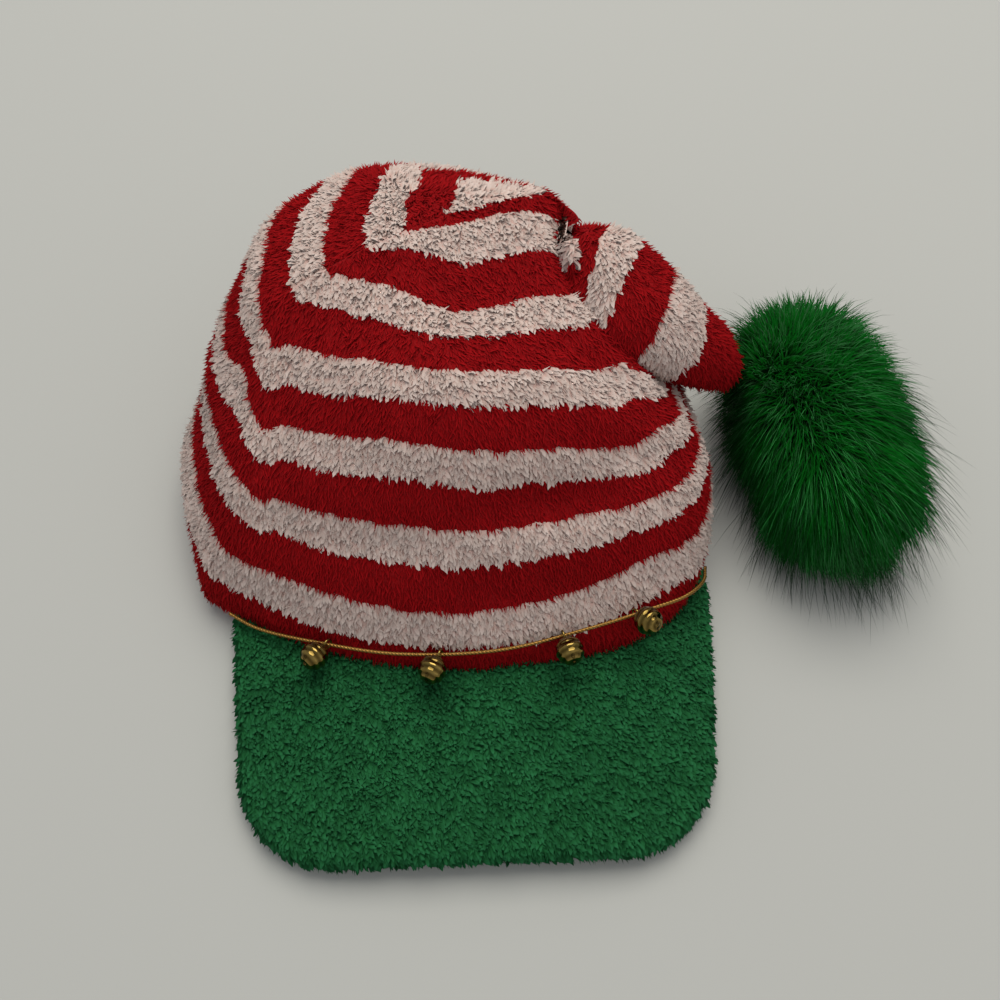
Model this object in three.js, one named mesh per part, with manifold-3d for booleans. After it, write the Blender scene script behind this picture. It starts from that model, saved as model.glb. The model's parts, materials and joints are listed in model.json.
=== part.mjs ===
// A soft pom-pom hat: a striped fleece crown that slouches over into a tail, a padded peak,
// a gilt cord with jingle bells above the peak, and a fur pompom on the tip of the tail.
// Millimetres, +Z up. The hat rests on its rim, with the peak towards -Y and the tail towards +X.

import * as THREE from "three";
import { mergeVertices } from "three/addons/utils/BufferGeometryUtils.js";
import Module from "manifold-3d";

const wasm = await Module();
wasm.setup();

// Driving dimensions
const WALL = 4; // fleece: knitted backing with its pile
const GAP = 0.35; // between neighbouring pieces
const RIM_UPRIGHT = 14; // height over which the rim stands straight up behind the peak
const PEAK = {
  thickness: 8,
  lift: 1.2, // underside above the table at both sides
  backArch: 3.6, // extra height at the middle of the back edge
  frontArch: 5, // extra height at the middle of the front edge
  front: -151, // y of the front edge
  backHalfWidth: 93,
  frontHalfWidth: 86,
  sideEnd: -114, // y where the sides turn into the rounded front corners
  cornerRadius: 36,
  turn: -3, // degrees the soft peak is skewed on the rim
  edgeRadius: 3.6,
};
const CORD = { diameter: 1.6, quarterSides: 2, steps: 44 };
const BELL = { radius: 5.2, wall: 0.6, ridges: 3, ridgeDepth: 0.18, sides: 10, slot: 1 };
const LOOP = { radius: 1.9, wire: 0.4, sink: 0.35, sides: 10, wireSides: 5 };
const POM = {
  centre: [149, 3, 31],
  head: [30, 57, 26], // half-sizes of the dense fur
  squareness: 2.5, // 2 is an ellipsoid, and more fills its corners
  turn: 10, // degrees it lies turned on the table
  root: [126, 12, 45], // middle of the tuft that meets the tip of the tail
  rootRadius: 17,
  locks: 44,
  lockLength: 10,
  lockRadius: 11,
  sweep: 0.7, // how far the locks lean away from the tail
};

// Mesh density
const CROWN_SIDES = 40;
const CROWN_STEPS = 24;
const TAIL_SIDES = 16;
const TAIL_STEPS = 10;

// The crown's rings from the rim to the top, in hat coordinates with the rim's middle at the origin.
// front, back and right are where a ring reaches furthest, and seam is its creased corner at the left.
// bow is how far the quarter between front and seam bows out, bulge how far the side swells out past the seam,
// and sag how far it drops behind it.
const CROWN_RINGS = [
  { front: [0, -82, 0], seam: [-104, -40, 0], back: [0, 88, 0], right: [96, -2, 0], bow: 1, bulge: 10, sag: 0 },
  { front: [0, -82, 14], seam: [-105, -40, 13], back: [0, 90, 13], right: [97, -3, 13], bow: 1, bulge: 20, sag: 0 },
  { front: [0, -76, 25], seam: [-101, -36, 24], back: [-2, 102, 22], right: [99, -4, 22], bow: 1, bulge: 38, sag: 2 },
  { front: [0, -56, 49], seam: [-90, -26, 44], back: [-6, 114, 38], right: [97, -6, 40], bow: 0.9, bulge: 36, sag: 5 },
  { front: [0, -34.5, 72], seam: [-82, -7, 60], back: [-10, 117, 56], right: [90, -4, 55], bow: 0.7, bulge: 42, sag: 9 },
  { front: [0, -13, 91], seam: [-77, 19, 73], back: [-20, 119, 72], right: [75, 8, 71], bow: 0.3, bulge: 26, sag: 12 },
  { front: [1, 10, 97], seam: [-66, 41, 88], back: [-28, 117, 83], right: [62, 24, 86], bow: 0, bulge: 18, sag: 9 },
  { front: [8, 46, 102.5], seam: [-37, 50, 99], back: [-14, 104, 91], right: [52, 44, 96], bow: 0, bulge: 2, sag: 3 },
  { front: [22, 65, 104.5], seam: [-12, 59, 103], back: [6, 91, 96], right: [52, 56, 99], bow: 0, bulge: 0, sag: 0 },
  { front: [36, 70, 104.5], seam: [16, 72, 104.5], back: [27, 81, 101], right: [47, 68, 101], bow: 0, bulge: 0, sag: 0 },
];
const CROWN_TOP = [38, 72, 104];

// Where the soft crown is pressed in: level and upright are how far a dent reaches along and up the cloth
const DENTS = [
  { at: [35, -42, 62], level: 28, upright: 8, depth: 4 },
  { at: [20, 30, 100], level: 30, upright: 12, depth: 2.5 },
];

// The tail's sections from inside the crown to the tip. wide and thick are half-sizes across the tail.
const TAIL_SECTIONS = [
  { at: [42, 45, 77], wide: 26, thick: 14 },
  { at: [60, 35.5, 85], wide: 28.5, thick: 16 },
  { at: [77, 28, 79], wide: 24.5, thick: 16 },
  { at: [92, 24, 68], wide: 18.5, thick: 13.5 },
  { at: [105, 22.5, 57], wide: 13, thick: 10.5 },
  { at: [110, 22, 52], wide: 9, thick: 7.5 },
];
const TAIL_TIP = [112.5, 21.5, 49];
const TAIL_ACROSS = new THREE.Vector3(-0.27, 0.89, 0.36); // roughly the direction of the wide half-size

// The cord's way over the front: the side and share of a quarter from the middle, the row of the ring table
// that it follows, and its height off the cloth
const CORD_ROUTE = [
  { side: -1, reach: 0.84, row: 0.93, lift: 1.3 },
  { side: -1, reach: 0.7, row: 1.05, lift: 2.2 },
  { side: -1, reach: 0.45, row: 1.58, lift: 2.8 },
  { side: -1, reach: 0.2, row: 1.76, lift: 2.8 },
  { side: 1, reach: 0.05, row: 1.9, lift: 2.8 },
  { side: 1, reach: 0.25, row: 2.1, lift: 2.8 },
  { side: 1, reach: 0.42, row: 2.15, lift: 2.8 },
  { side: 1, reach: 0.56, row: 2, lift: 2.8 },
  { side: 1, reach: 0.68, row: 1.6, lift: 2 },
  { side: 1, reach: 0.74, row: 1.3, lift: 1.3 },
];

// Bells along the cord: share of the cord's length at the loop, and the way from the loop to the bell
const BELLS = [
  { share: 0.217, hang: [-0.68, -0.7, 0.2] },
  { share: 0.424, hang: [-0.46, -0.88, 0.1] },
  { share: 0.648, hang: [0.21, -0.97, 0.13] },
  { share: 0.785, hang: [0.5, -0.68, 0.53] },
];

const vec = (p) => new THREE.Vector3(...p);
const lerp = THREE.MathUtils.lerp;
const rad = THREE.MathUtils.degToRad;
const UP = new THREE.Vector3(0, 0, 1);

// Solids and meshes

function toSolid(geometry) {
  const bare = geometry.clone();
  bare.deleteAttribute("normal");
  bare.deleteAttribute("uv");
  const merged = mergeVertices(bare, 1e-4);
  return new wasm.Manifold(
    new wasm.Mesh({
      numProp: 3,
      vertProperties: new Float32Array(merged.attributes.position.array),
      triVerts: new Uint32Array(merged.index.array),
    }),
  );
}

function toGeometry(solid) {
  const { vertProperties, triVerts } = solid.getMesh();
  const geometry = new THREE.BufferGeometry();
  geometry.setAttribute("position", new THREE.BufferAttribute(vertProperties, 3));
  geometry.setIndex(new THREE.BufferAttribute(triVerts, 1));
  geometry.computeVertexNormals();
  return geometry;
}

// A closed skin over a stack of rings that all turn the same way, with an end point beyond each end ring.
function skin(rings, firstPoint, lastPoint) {
  const sides = rings[0].length;
  const points = [...rings.flat(), firstPoint, lastPoint];
  const first = points.length - 2;
  const last = points.length - 1;
  const index = [];
  for (let j = 0; j < sides; j++) {
    const k = (j + 1) % sides;
    index.push(first, j, k);
    for (let i = 0; i + 1 < rings.length; i++) {
      const [a, b] = [i * sides + j, i * sides + k];
      index.push(a, a + sides, b, b, a + sides, b + sides);
    }
    const top = (rings.length - 1) * sides;
    index.push(top + j, last, top + k);
  }
  const geometry = new THREE.BufferGeometry().setFromPoints(points);
  geometry.setIndex(index);
  return geometry;
}

const centreOf = (points) =>
  points.reduce((sum, point) => sum.add(point), new THREE.Vector3()).divideScalar(points.length);

function named(name, geometry, material) {
  const mesh = new THREE.Mesh(geometry, material);
  mesh.name = name;
  return mesh;
}

// Crown

// Smooth column of one key point of the rings, read at a share of the way from the first row to the last
const column = (key) => new THREE.CatmullRomCurve3(CROWN_RINGS.map((row) => vec(row[key])), false, "catmullrom", 0.5);
const columns = { front: column("front"), seam: column("seam"), back: column("back"), right: column("right") };

function sideways(key, share) {
  const row = share * (CROWN_RINGS.length - 1);
  const low = Math.min(Math.floor(row), CROWN_RINGS.length - 2);
  return lerp(CROWN_RINGS[low][key], CROWN_RINGS[low + 1][key], row - low);
}

// A point moved from one end of a quarter towards the other by a share along each axis
function handle(from, to, x, y, z) {
  return from.clone().add(to.clone().sub(from).multiply(new THREE.Vector3(x, y, z)));
}

// One ring as four curves: front to seam, seam to back, back to right, right to front
function crownRing(share) {
  const front = columns.front.getPoint(share);
  const seam = columns.seam.getPoint(share);
  const back = columns.back.getPoint(share);
  const right = columns.right.getPoint(share);
  const bow = sideways("bow", share);
  const bulge = sideways("bulge", share);
  const sag = sideways("sag", share);
  const swell = new THREE.Vector3(-bulge, 0, -sag);
  const droop = new THREE.Vector3(0, 0, -sag);
  return [
    [front, handle(front, seam, 0.5, lerp(0.32, 0.1, bow), 0.3), handle(seam, front, 0.24, lerp(0.27, 0.42, bow), 0.2), seam],
    [seam, handle(seam, back, 0, 0.62, 0.5).add(swell), handle(back, seam, 0.88, 0, 0.2).add(droop), back],
    [back, handle(back, right, 0.6, 0, 0.2), handle(right, back, 0, 0.6, 0.5), right],
    [right, handle(right, front, -0.07, 0.95, 0.35), handle(front, right, 0.62, 0, 0.3), front],
  ].map((quarter) => new THREE.CubicBezierCurve3(...quarter));
}

function ringPoints(share, sides) {
  const curves = crownRing(share);
  const each = sides / curves.length;
  return curves.flatMap((curve) => curve.getPoints(each).slice(0, each));
}

// Outward normals on a stack of rings. The upright rim's normals stay level.
function outward(rings, levelRings) {
  return rings.map((ring, i) =>
    ring.map((point, j) => {
      const along = ring[(j + 1) % ring.length].clone().sub(ring[(j + ring.length - 1) % ring.length]);
      const up = rings[Math.min(i + 1, rings.length - 1)][j].clone().sub(rings[Math.max(i - 1, 0)][j]);
      const normal = up.cross(along);
      if (i < levelRings) normal.setZ(0);
      return normal.normalize();
    }),
  );
}

const crownShares = Array.from({ length: CROWN_STEPS + 1 }, (_, i) => i / CROWN_STEPS);
const plainRings = crownShares.map((share) => ringPoints(share, CROWN_SIDES));
const rimRings = plainRings.filter((ring) => ring[0].z <= RIM_UPRIGHT).length;
const crownNormals = outward(plainRings, rimRings);

function dentDepth(point) {
  return DENTS.reduce((sum, { at, level, upright, depth }) => {
    const [x, y, z] = point.clone().sub(vec(at)).toArray();
    return sum + depth * Math.exp(-(x ** 2 + y ** 2) / level ** 2 - z ** 2 / upright ** 2);
  }, 0);
}

const crownRings = plainRings.map((ring, i) =>
  ring.map((point, j) => point.clone().addScaledVector(crownNormals[i][j], -dentDepth(point))),
);

// The crown's body moved in from its outside by inset. Its hollow stops a few rings short of the top.
function crownBody(inset, floor) {
  const rings = crownRings
    .slice(0, inset > 0 ? -3 : undefined)
    .map((ring, i) => ring.map((point, j) => point.clone().addScaledVector(crownNormals[i][j], -inset)));
  for (const point of rings[0]) point.setZ(floor);
  const middle = new THREE.Vector3(0, 0, floor);
  const top = inset > 0 ? centreOf(rings.at(-1)) : vec(CROWN_TOP);
  return toSolid(skin(rings, middle, top));
}

// Tail

const tailLine = new THREE.CatmullRomCurve3(TAIL_SECTIONS.map((row) => vec(row.at)));
const tailSize = (key) => new THREE.SplineCurve(TAIL_SECTIONS.map((row, i) => new THREE.Vector2(i, row[key])));
const tailSizes = { wide: tailSize("wide"), thick: tailSize("thick") };

function tailBody(inset, shortening) {
  const rings = [];
  for (let i = 0; i <= TAIL_STEPS - shortening; i++) {
    const share = i / TAIL_STEPS;
    const centre = tailLine.getPoint(share);
    const along = tailLine.getTangent(share);
    const thin = along.clone().cross(TAIL_ACROSS).normalize();
    const across = thin.clone().cross(along).normalize();
    const wide = tailSizes.wide.getPoint(share).y - inset;
    const thick = tailSizes.thick.getPoint(share).y - inset;
    const ring = Array.from({ length: TAIL_SIDES }, (_, j) => {
      const angle = (2 * Math.PI * j) / TAIL_SIDES;
      return centre
        .clone()
        .addScaledVector(across, wide * Math.cos(angle))
        .addScaledVector(thin, -thick * Math.sin(angle));
    });
    rings.push(ring);
  }
  const start = tailLine.getPoint(0);
  const end = shortening > 0 ? tailLine.getPoint(1 - shortening / TAIL_STEPS) : vec(TAIL_TIP);
  end.addScaledVector(tailLine.getTangent(1), -inset);
  return toSolid(skin(rings, start, end));
}

function crownGeometry() {
  const outside = crownBody(0, 0).add(tailBody(0, 0));
  const hollow = crownBody(WALL, -1).add(tailBody(WALL, 1));
  return toGeometry(outside.subtract(hollow));
}

// The rim's front edge: y of its outline at a given x
const rimFront = [...ringPoints(0, 160)].filter((point) => point.y < -20).sort((a, b) => a.x - b.x);

function rimY(x) {
  const next = rimFront.findIndex((point) => point.x >= x);
  const [a, b] = [rimFront[Math.max(next - 1, 0)], rimFront[Math.max(next, 1)]];
  return lerp(a.y, b.y, (x - a.x) / (b.x - a.x));
}

// Peak

function peakFrontY(x) {
  const reach = Math.abs(x);
  const cornerStart = PEAK.frontHalfWidth - PEAK.cornerRadius;
  if (reach > PEAK.frontHalfWidth) {
    const share = (reach - PEAK.frontHalfWidth) / (PEAK.backHalfWidth - PEAK.frontHalfWidth);
    return lerp(PEAK.sideEnd, rimY(x) - 2 * PEAK.edgeRadius, share);
  }
  if (reach < cornerStart) return PEAK.front;
  const drop = PEAK.cornerRadius - Math.sqrt(PEAK.cornerRadius ** 2 - (reach - cornerStart) ** 2);
  return PEAK.front + (drop * (PEAK.sideEnd - PEAK.front)) / PEAK.cornerRadius;
}

function peakUnderside(x, share) {
  const across = 1 - (x / PEAK.backHalfWidth) ** 2;
  return PEAK.lift + across * lerp(PEAK.backArch, PEAK.frontArch, share);
}

// A slice of the peak at one x, from the back of its underside round the front edge to the back of its top
function peakSlice(x) {
  const back = rimY(x) + 6;
  const front = peakFrontY(x);
  const depth = back - front;
  const round = Math.min(PEAK.edgeRadius, 0.45 * depth);
  const outline = [];
  const add = (y, height) => outline.push(new THREE.Vector3(x, y, peakUnderside(x, (back - y) / depth) + height));
  for (const share of [0, 0.35, 0.7]) add(back - share * (depth - round), 0);
  for (let i = 0; i <= 4; i++) {
    const angle = (Math.PI * i) / 4;
    add(front + round * (1 - Math.sin(angle)), (PEAK.thickness * (1 - Math.cos(angle))) / 2);
  }
  for (const share of [0.7, 0.35, 0]) add(back - share * (depth - round), PEAK.thickness);
  return outline;
}

function peakGeometry() {
  const stations = 26;
  const slices = [];
  for (let i = 0; i <= stations; i++) {
    const spread = Math.sin((Math.PI / 2) * ((2 * i) / stations - 1));
    slices.push(peakSlice(PEAK.backHalfWidth * spread));
  }
  const skewed = skin(slices, centreOf(slices[0]), centreOf(slices.at(-1)))
    .translate(0, -rimY(0), 0)
    .rotateZ(rad(PEAK.turn))
    .translate(0, rimY(0), 0);
  const whole = toSolid(skewed);
  return toGeometry(whole.subtract(crownBody(-GAP, -1)));
}

// Cord

function onCrown(side, reach, row, lift) {
  const at = (r, u) => {
    const curves = crownRing(r / (CROWN_RINGS.length - 1));
    return side < 0 ? curves[0].getPoint(u) : curves[3].getPoint(1 - u);
  };
  const along = at(row, reach + 0.01).sub(at(row, reach - 0.01)).multiplyScalar(-side);
  const up = at(row + 0.1, reach).sub(at(row - 0.1, reach));
  return at(row, reach).addScaledVector(up.cross(along).normalize(), lift);
}

const cordLine = new THREE.CatmullRomCurve3(
  CORD_ROUTE.map(({ side, reach, row, lift }) => onCrown(side, reach, row, lift)),
);

function cordGeometry() {
  const outline = new THREE.Shape();
  outline.absarc(0, 0, CORD.diameter / 2, 0, 2 * Math.PI);
  const settings = { steps: CORD.steps, extrudePath: cordLine, curveSegments: 2 * CORD.quarterSides };
  return toGeometry(toSolid(new THREE.ExtrudeGeometry(outline, settings)));
}

// Bells

// One bell about Y: its middle at the origin, the loop's middle on +Y with its hole along Z, the slot below
const loopHeight = BELL.radius + LOOP.radius - LOOP.sink;

function bellGeometry() {
  const dome = (radius, depth, steps) =>
    Array.from({ length: steps + 1 }, (_, i) => {
      const angle = (Math.PI * i) / steps;
      const r = radius + depth * Math.cos(2 * BELL.ridges * angle);
      return new THREE.Vector2(i % steps ? r * Math.sin(angle) : 0, -r * Math.cos(angle));
    });
  const shell = toSolid(new THREE.LatheGeometry(dome(BELL.radius, BELL.ridgeDepth, 12), BELL.sides));
  const hollow = toSolid(new THREE.LatheGeometry(dome(BELL.radius - BELL.wall, 0, 6), BELL.sides));
  const slot = toSolid(new THREE.BoxGeometry(1.5 * BELL.radius, BELL.radius, BELL.slot).translate(0, -BELL.radius, 0));
  const ring = new THREE.TorusGeometry(LOOP.radius, LOOP.wire, LOOP.wireSides, LOOP.sides).translate(0, loopHeight, 0);
  const whole = shell.add(toSolid(ring)).subtract(hollow).subtract(slot);
  return toGeometry(whole);
}

// Turns the bell so that its loop lies on the cord with the cord along the loop's hole
function hangBell(mesh, { share, hang }) {
  const away = vec(hang).normalize();
  const up = away.clone().negate();
  const hole = cordLine.getTangentAt(share).projectOnPlane(up).normalize();
  const basis = new THREE.Matrix4().makeBasis(up.clone().cross(hole), up, hole);
  mesh.quaternion.setFromRotationMatrix(basis);
  mesh.position.copy(cordLine.getPointAt(share)).addScaledVector(away, loopHeight);
  return mesh;
}

// Pompom

// A tuft of fur: a bent cone from inside the head to its tip
function lock(from, middle, to, radius) {
  const line = new THREE.QuadraticBezierCurve3(from, middle, to);
  const side = UP.clone().cross(line.getTangent(0.5));
  if (side.length() < 0.1) side.set(1, 0, 0);
  const rings = [0, 0.35, 0.7].map((share) => {
    const along = line.getTangent(share);
    const across = side.clone().projectOnPlane(along).normalize();
    const other = along.clone().cross(across);
    const size = radius * (1 - share ** 1.6);
    return Array.from({ length: 5 }, (_, j) => {
      const angle = (2 * Math.PI * j) / 5;
      return line
        .getPoint(share)
        .addScaledVector(across, size * Math.cos(angle))
        .addScaledVector(other, -size * Math.sin(angle));
    });
  });
  return toSolid(skin(rings, from, to));
}

// A point on the pom's dense fur, in a direction from its middle before it is turned
function onPom(direction) {
  const power = POM.squareness;
  const spread = direction.toArray().reduce((sum, value) => sum + Math.abs(value) ** power, 0) ** (1 / power);
  return direction.clone().divideScalar(spread).multiply(vec(POM.head)).applyAxisAngle(UP, rad(POM.turn));
}

function pomGeometry() {
  const centre = vec(POM.centre);
  const away = centre.clone().sub(vec(POM.root)).normalize();
  const head = new THREE.IcosahedronGeometry(1, 3);
  const spots = head.attributes.position;
  for (let i = 0; i < spots.count; i++) {
    spots.setXYZ(i, ...onPom(new THREE.Vector3().fromBufferAttribute(spots, i)).add(centre).toArray());
  }
  const root = new THREE.IcosahedronGeometry(POM.rootRadius, 2).translate(...POM.root);
  const pieces = [toSolid(head), toSolid(root)];
  for (let i = 0; i < POM.locks; i++) {
    const height = 1 - (2 * i + 1) / POM.locks;
    const turn = i * Math.PI * (3 - Math.sqrt(5));
    const level = Math.sqrt(1 - height ** 2);
    const direction = new THREE.Vector3(level * Math.cos(turn), level * Math.sin(turn), height);
    const surface = onPom(direction);
    const out = direction.applyAxisAngle(UP, rad(POM.turn));
    const length = POM.lockLength * (0.8 + 0.4 * Math.abs(Math.sin(7.3 * i)));
    const lean = away.clone().projectOnPlane(out).multiplyScalar(POM.sweep);
    const tip = surface.clone().addScaledVector(out.clone().add(lean).normalize(), length).add(centre);
    tip.z = Math.max(tip.z, 0.6);
    const knee = surface.clone().addScaledVector(out, 0.45 * length).add(centre);
    knee.z = Math.max(knee.z, 3);
    pieces.push(lock(surface.clone().multiplyScalar(0.55).add(centre), knee, tip, POM.lockRadius));
  }
  const whole = wasm.Manifold.union(pieces)
    .subtract(tailBody(-GAP, 0))
    .subtract(crownBody(-GAP, -1))
    .trimByPlane([0, 0, 1], 0);
  return toGeometry(whole);
}

// The whole hat, with the middle of its bounding box's bottom at the origin

const fleece = new THREE.MeshStandardMaterial({ color: 0x76100f, roughness: 1 });
const greenPile = new THREE.MeshStandardMaterial({ color: 0x114223, roughness: 1 });
const fur = new THREE.MeshStandardMaterial({ color: 0x0c3d12, roughness: 1 });
const gilt = new THREE.MeshStandardMaterial({ color: 0xa8842c, metalness: 1, roughness: 0.4 });

const hat = new THREE.Group();
hat.name = "pom_pom_hat";
hat.add(named("crown", crownGeometry(), fleece));
hat.add(named("peak", peakGeometry(), greenPile));
hat.add(named("bell_cord", cordGeometry(), gilt));
const bell = bellGeometry();
BELLS.forEach((row, i) => hat.add(hangBell(named(`bell_${i + 1}`, bell, gilt), row)));
hat.add(named("pom_pom", pomGeometry(), fur));

hat.updateMatrixWorld(true);
const box = new THREE.Box3().setFromObject(hat, true);
const middle = box.getCenter(new THREE.Vector3());
hat.children.forEach((mesh) => mesh.position.sub(new THREE.Vector3(middle.x, middle.y, box.min.z)));

export default hat;
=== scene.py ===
# %% [markdown]
# # A soft pom-pom hat
# The real thing is sewn from pile fleece: a striped crown that slouches over into a tail, a padded
# peak, a gilt cord of jingle bells and a fur pompom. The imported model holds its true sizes, so this
# script dresses that model and never moves it. Everything here is in metres, in the model's own frame.

import json
import math

import bpy
import numpy as np
from mathutils import Matrix, Vector, noise

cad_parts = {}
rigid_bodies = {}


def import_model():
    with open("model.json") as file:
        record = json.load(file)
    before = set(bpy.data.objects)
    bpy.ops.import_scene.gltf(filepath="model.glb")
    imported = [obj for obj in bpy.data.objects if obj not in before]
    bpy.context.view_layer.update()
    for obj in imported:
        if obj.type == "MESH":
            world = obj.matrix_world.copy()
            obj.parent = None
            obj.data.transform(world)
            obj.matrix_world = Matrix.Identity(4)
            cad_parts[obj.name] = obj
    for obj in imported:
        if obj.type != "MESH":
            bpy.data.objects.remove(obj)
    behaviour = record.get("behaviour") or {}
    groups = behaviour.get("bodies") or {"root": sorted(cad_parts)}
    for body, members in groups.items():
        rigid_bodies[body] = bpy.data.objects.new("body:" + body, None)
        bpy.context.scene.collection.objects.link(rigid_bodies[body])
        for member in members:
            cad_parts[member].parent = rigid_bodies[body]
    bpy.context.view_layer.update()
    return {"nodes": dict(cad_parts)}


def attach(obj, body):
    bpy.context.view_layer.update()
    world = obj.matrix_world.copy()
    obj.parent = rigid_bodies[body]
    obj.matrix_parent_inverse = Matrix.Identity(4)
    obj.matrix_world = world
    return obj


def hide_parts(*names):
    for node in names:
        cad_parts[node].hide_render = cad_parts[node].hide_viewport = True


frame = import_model()
MM = 0.001
RIM_MIDDLE = np.array([-38.824, 17.258, 0.0])  # where the middle of the rim lies in the frame, in mm
print("nodes:", ", ".join(sorted(frame["nodes"])))


def placed(points):
    """Hat coordinates in mm, measured from the middle of the rim, as metres in the frame."""
    return (np.asarray(points, float) + RIM_MIDDLE) * MM


# %% [markdown]
# ## Camera, floor and light
# The photo looks down at the hat from in front, so the camera tips 60 degrees below the horizon. A
# lens as long as the sensor is wide gives the same perspective. One large lamp behind the left
# shoulder and a pale sky give soft shadows under the peak and beside the crown.

# %% Camera
scene = bpy.context.scene
camera = bpy.data.objects.new("camera", bpy.data.cameras.new("camera"))
camera.data.sensor_width = 36
camera.data.lens = 36
camera.data.clip_start = 0.01
camera.location = placed([-2.55, -215.7, 373.0])
camera.rotation_euler = (math.radians(30), 0, math.radians(-5.2))
scene.collection.objects.link(camera)
scene.camera = camera
scene.view_settings.view_transform = "Standard"
print("camera at", [round(v, 3) for v in camera.location])


# %% Floor and lamps
def finish_of(name, colour=(0.5, 0.5, 0.5), roughness=0.9, **sockets):
    """A new material, its node tree and its Principled shader, with the constant sockets set."""
    material = bpy.data.materials.new(name)
    material.use_nodes = True
    shader = material.node_tree.nodes["Principled BSDF"]
    shader.inputs["Base Color"].default_value = (*colour, 1)
    shader.inputs["Roughness"].default_value = roughness
    shader.inputs["Specular IOR Level"].default_value = sockets.pop("shine", 0.1)
    for label, value in sockets.items():
        shader.inputs[label.replace("_", " ").title()].default_value = value
    return material, material.node_tree, shader


FLOOR_GAP = 0.0004  # m under the rim, so that two faces never lie in one plane
floor_mesh = bpy.data.meshes.new("floor")
floor_mesh.from_pydata([(-3, -3, 0), (3, -3, 0), (3, 3, 0), (-3, 3, 0)], [], [(0, 1, 2, 3)])
floor_mesh.materials.append(finish_of("pale_floor", (0.50, 0.50, 0.46), 0.95)[0])
floor = bpy.data.objects.new("floor", floor_mesh)
floor.location.z = -FLOOR_GAP
scene.collection.objects.link(floor)


def lamp(name, watts, size, place, colour):
    light = bpy.data.lights.new(name, "AREA")
    light.energy, light.size, light.color = watts, size, colour
    thing = bpy.data.objects.new(name, light)
    thing.location = place
    thing.rotation_euler = (-Vector(place)).to_track_quat("-Z", "Y").to_euler()
    scene.collection.objects.link(thing)


lamp("window", watts=28, size=1.6, place=(0.15, 0.75, 1.8), colour=(1.0, 0.97, 0.92))
lamp("bounce", watts=1.5, size=1.6, place=(1.0, -0.9, 1.1), colour=(1.0, 0.95, 0.9))
world = bpy.data.worlds.new("soft_sky")
world.use_nodes = True
world.node_tree.nodes["Background"].inputs["Color"].default_value = (0.9, 0.93, 1.0, 1)
world.node_tree.nodes["Background"].inputs["Strength"].default_value = 0.46
scene.world = world

# %% [markdown]
# ## Helpers for meshes and node trees
# Long lists of points are quick to work out with NumPy and then handed to Blender in one go. Node
# trees are built by a few small helpers, so that a tree reads as a list of what is plugged into what.


# %% Mesh helpers
def mesh_object(name, points, faces, materials=(), edges=()):
    """A smooth-shaded object at the origin, from points in metres."""
    mesh = bpy.data.meshes.new(name)
    mesh.from_pydata(np.asarray(points).tolist(), list(edges), [tuple(map(int, face)) for face in faces])
    mesh.shade_smooth()
    for material in materials:
        mesh.materials.append(material)
    thing = bpy.data.objects.new(name, mesh)
    scene.collection.objects.link(thing)
    return thing


def skin_faces(rows, sides):
    """Faces over a stack of rings, with a fan to one point below the first and to one above the last."""
    j = np.arange(sides)
    k = (j + 1) % sides
    quads = [np.stack([i * sides + j, (i + 1) * sides + j, (i + 1) * sides + k, i * sides + k], 1)
             for i in range(rows - 1)]
    first, last, top = rows * sides, rows * sides + 1, (rows - 1) * sides
    return [*np.concatenate(quads), *[(first, a, b) for a, b in zip(j, k)],
            *[(top + a, last, top + b) for a, b in zip(j, k)]]


def triangles(thing):
    thing.data.calc_loop_triangles()
    return len(thing.data.loop_triangles)


def plain_copy(thing, name):
    """The object's mesh with its modifiers applied, as a new object with no modifiers."""
    bpy.context.view_layer.update()
    graph = bpy.context.evaluated_depsgraph_get()
    mesh = bpy.data.meshes.new_from_object(thing.evaluated_get(graph), depsgraph=graph)
    mesh.name = name
    plain = bpy.data.objects.new(name, mesh)
    scene.collection.objects.link(plain)
    print(f"{name}: {triangles(plain):,} triangles")
    return plain


def discard(*things):
    for thing in things:
        mesh = thing.data
        bpy.data.objects.remove(thing)
        bpy.data.meshes.remove(mesh)


def corner_points(mesh):
    """For every corner of every face, the number of its point."""
    numbers = np.zeros(len(mesh.loops), np.int32)
    mesh.loops.foreach_get("vertex_index", numbers)
    return numbers


def add_map(mesh, name, across, up):
    """A UV map from two values for every corner."""
    layer = mesh.uv_layers.new(name=name)
    layer.data.foreach_set("uv", np.stack([across, up], 1).astype(np.float32).ravel())


def globe(angle, radius, sides):
    """Rings of points about Z, from the bottom up, at these angles and radii."""
    turn = np.arange(sides) * 2 * math.pi / sides
    level = (radius * np.sin(angle))[:, None]
    upright = np.repeat((radius * -np.cos(angle))[:, None], sides, 1)
    return np.stack([level * np.cos(turn), level * -np.sin(turn), upright], -1)


# %% Node tree helpers
def add(tree, kind, plugs=None, **settings):
    """A new node. plugs maps an input's name or number to a value or to another node's output."""
    node = tree.nodes.new(kind)
    for key, value in settings.items():
        setattr(node, key, value)
    for key, value in (plugs or {}).items():
        if isinstance(value, bpy.types.NodeSocket):
            tree.links.new(value, node.inputs[key])
        else:
            node.inputs[key].default_value = value
    return node


def maths(tree, operation, *values):
    return add(tree, "ShaderNodeMath", dict(enumerate(values)), operation=operation).outputs[0]


def vectors(tree, operation, *values):
    node = add(tree, "ShaderNodeVectorMath", dict(enumerate(values)), operation=operation)
    return node.outputs["Value" if operation == "DOT_PRODUCT" else "Vector"]


def scaled(tree, vector, factor):
    node = add(tree, "ShaderNodeVectorMath", {0: vector, "Scale": factor}, operation="SCALE")
    return node.outputs["Vector"]


def axis_of(tree, vector, axis):
    return add(tree, "ShaderNodeSeparateXYZ", {0: vector}).outputs[axis]


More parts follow.
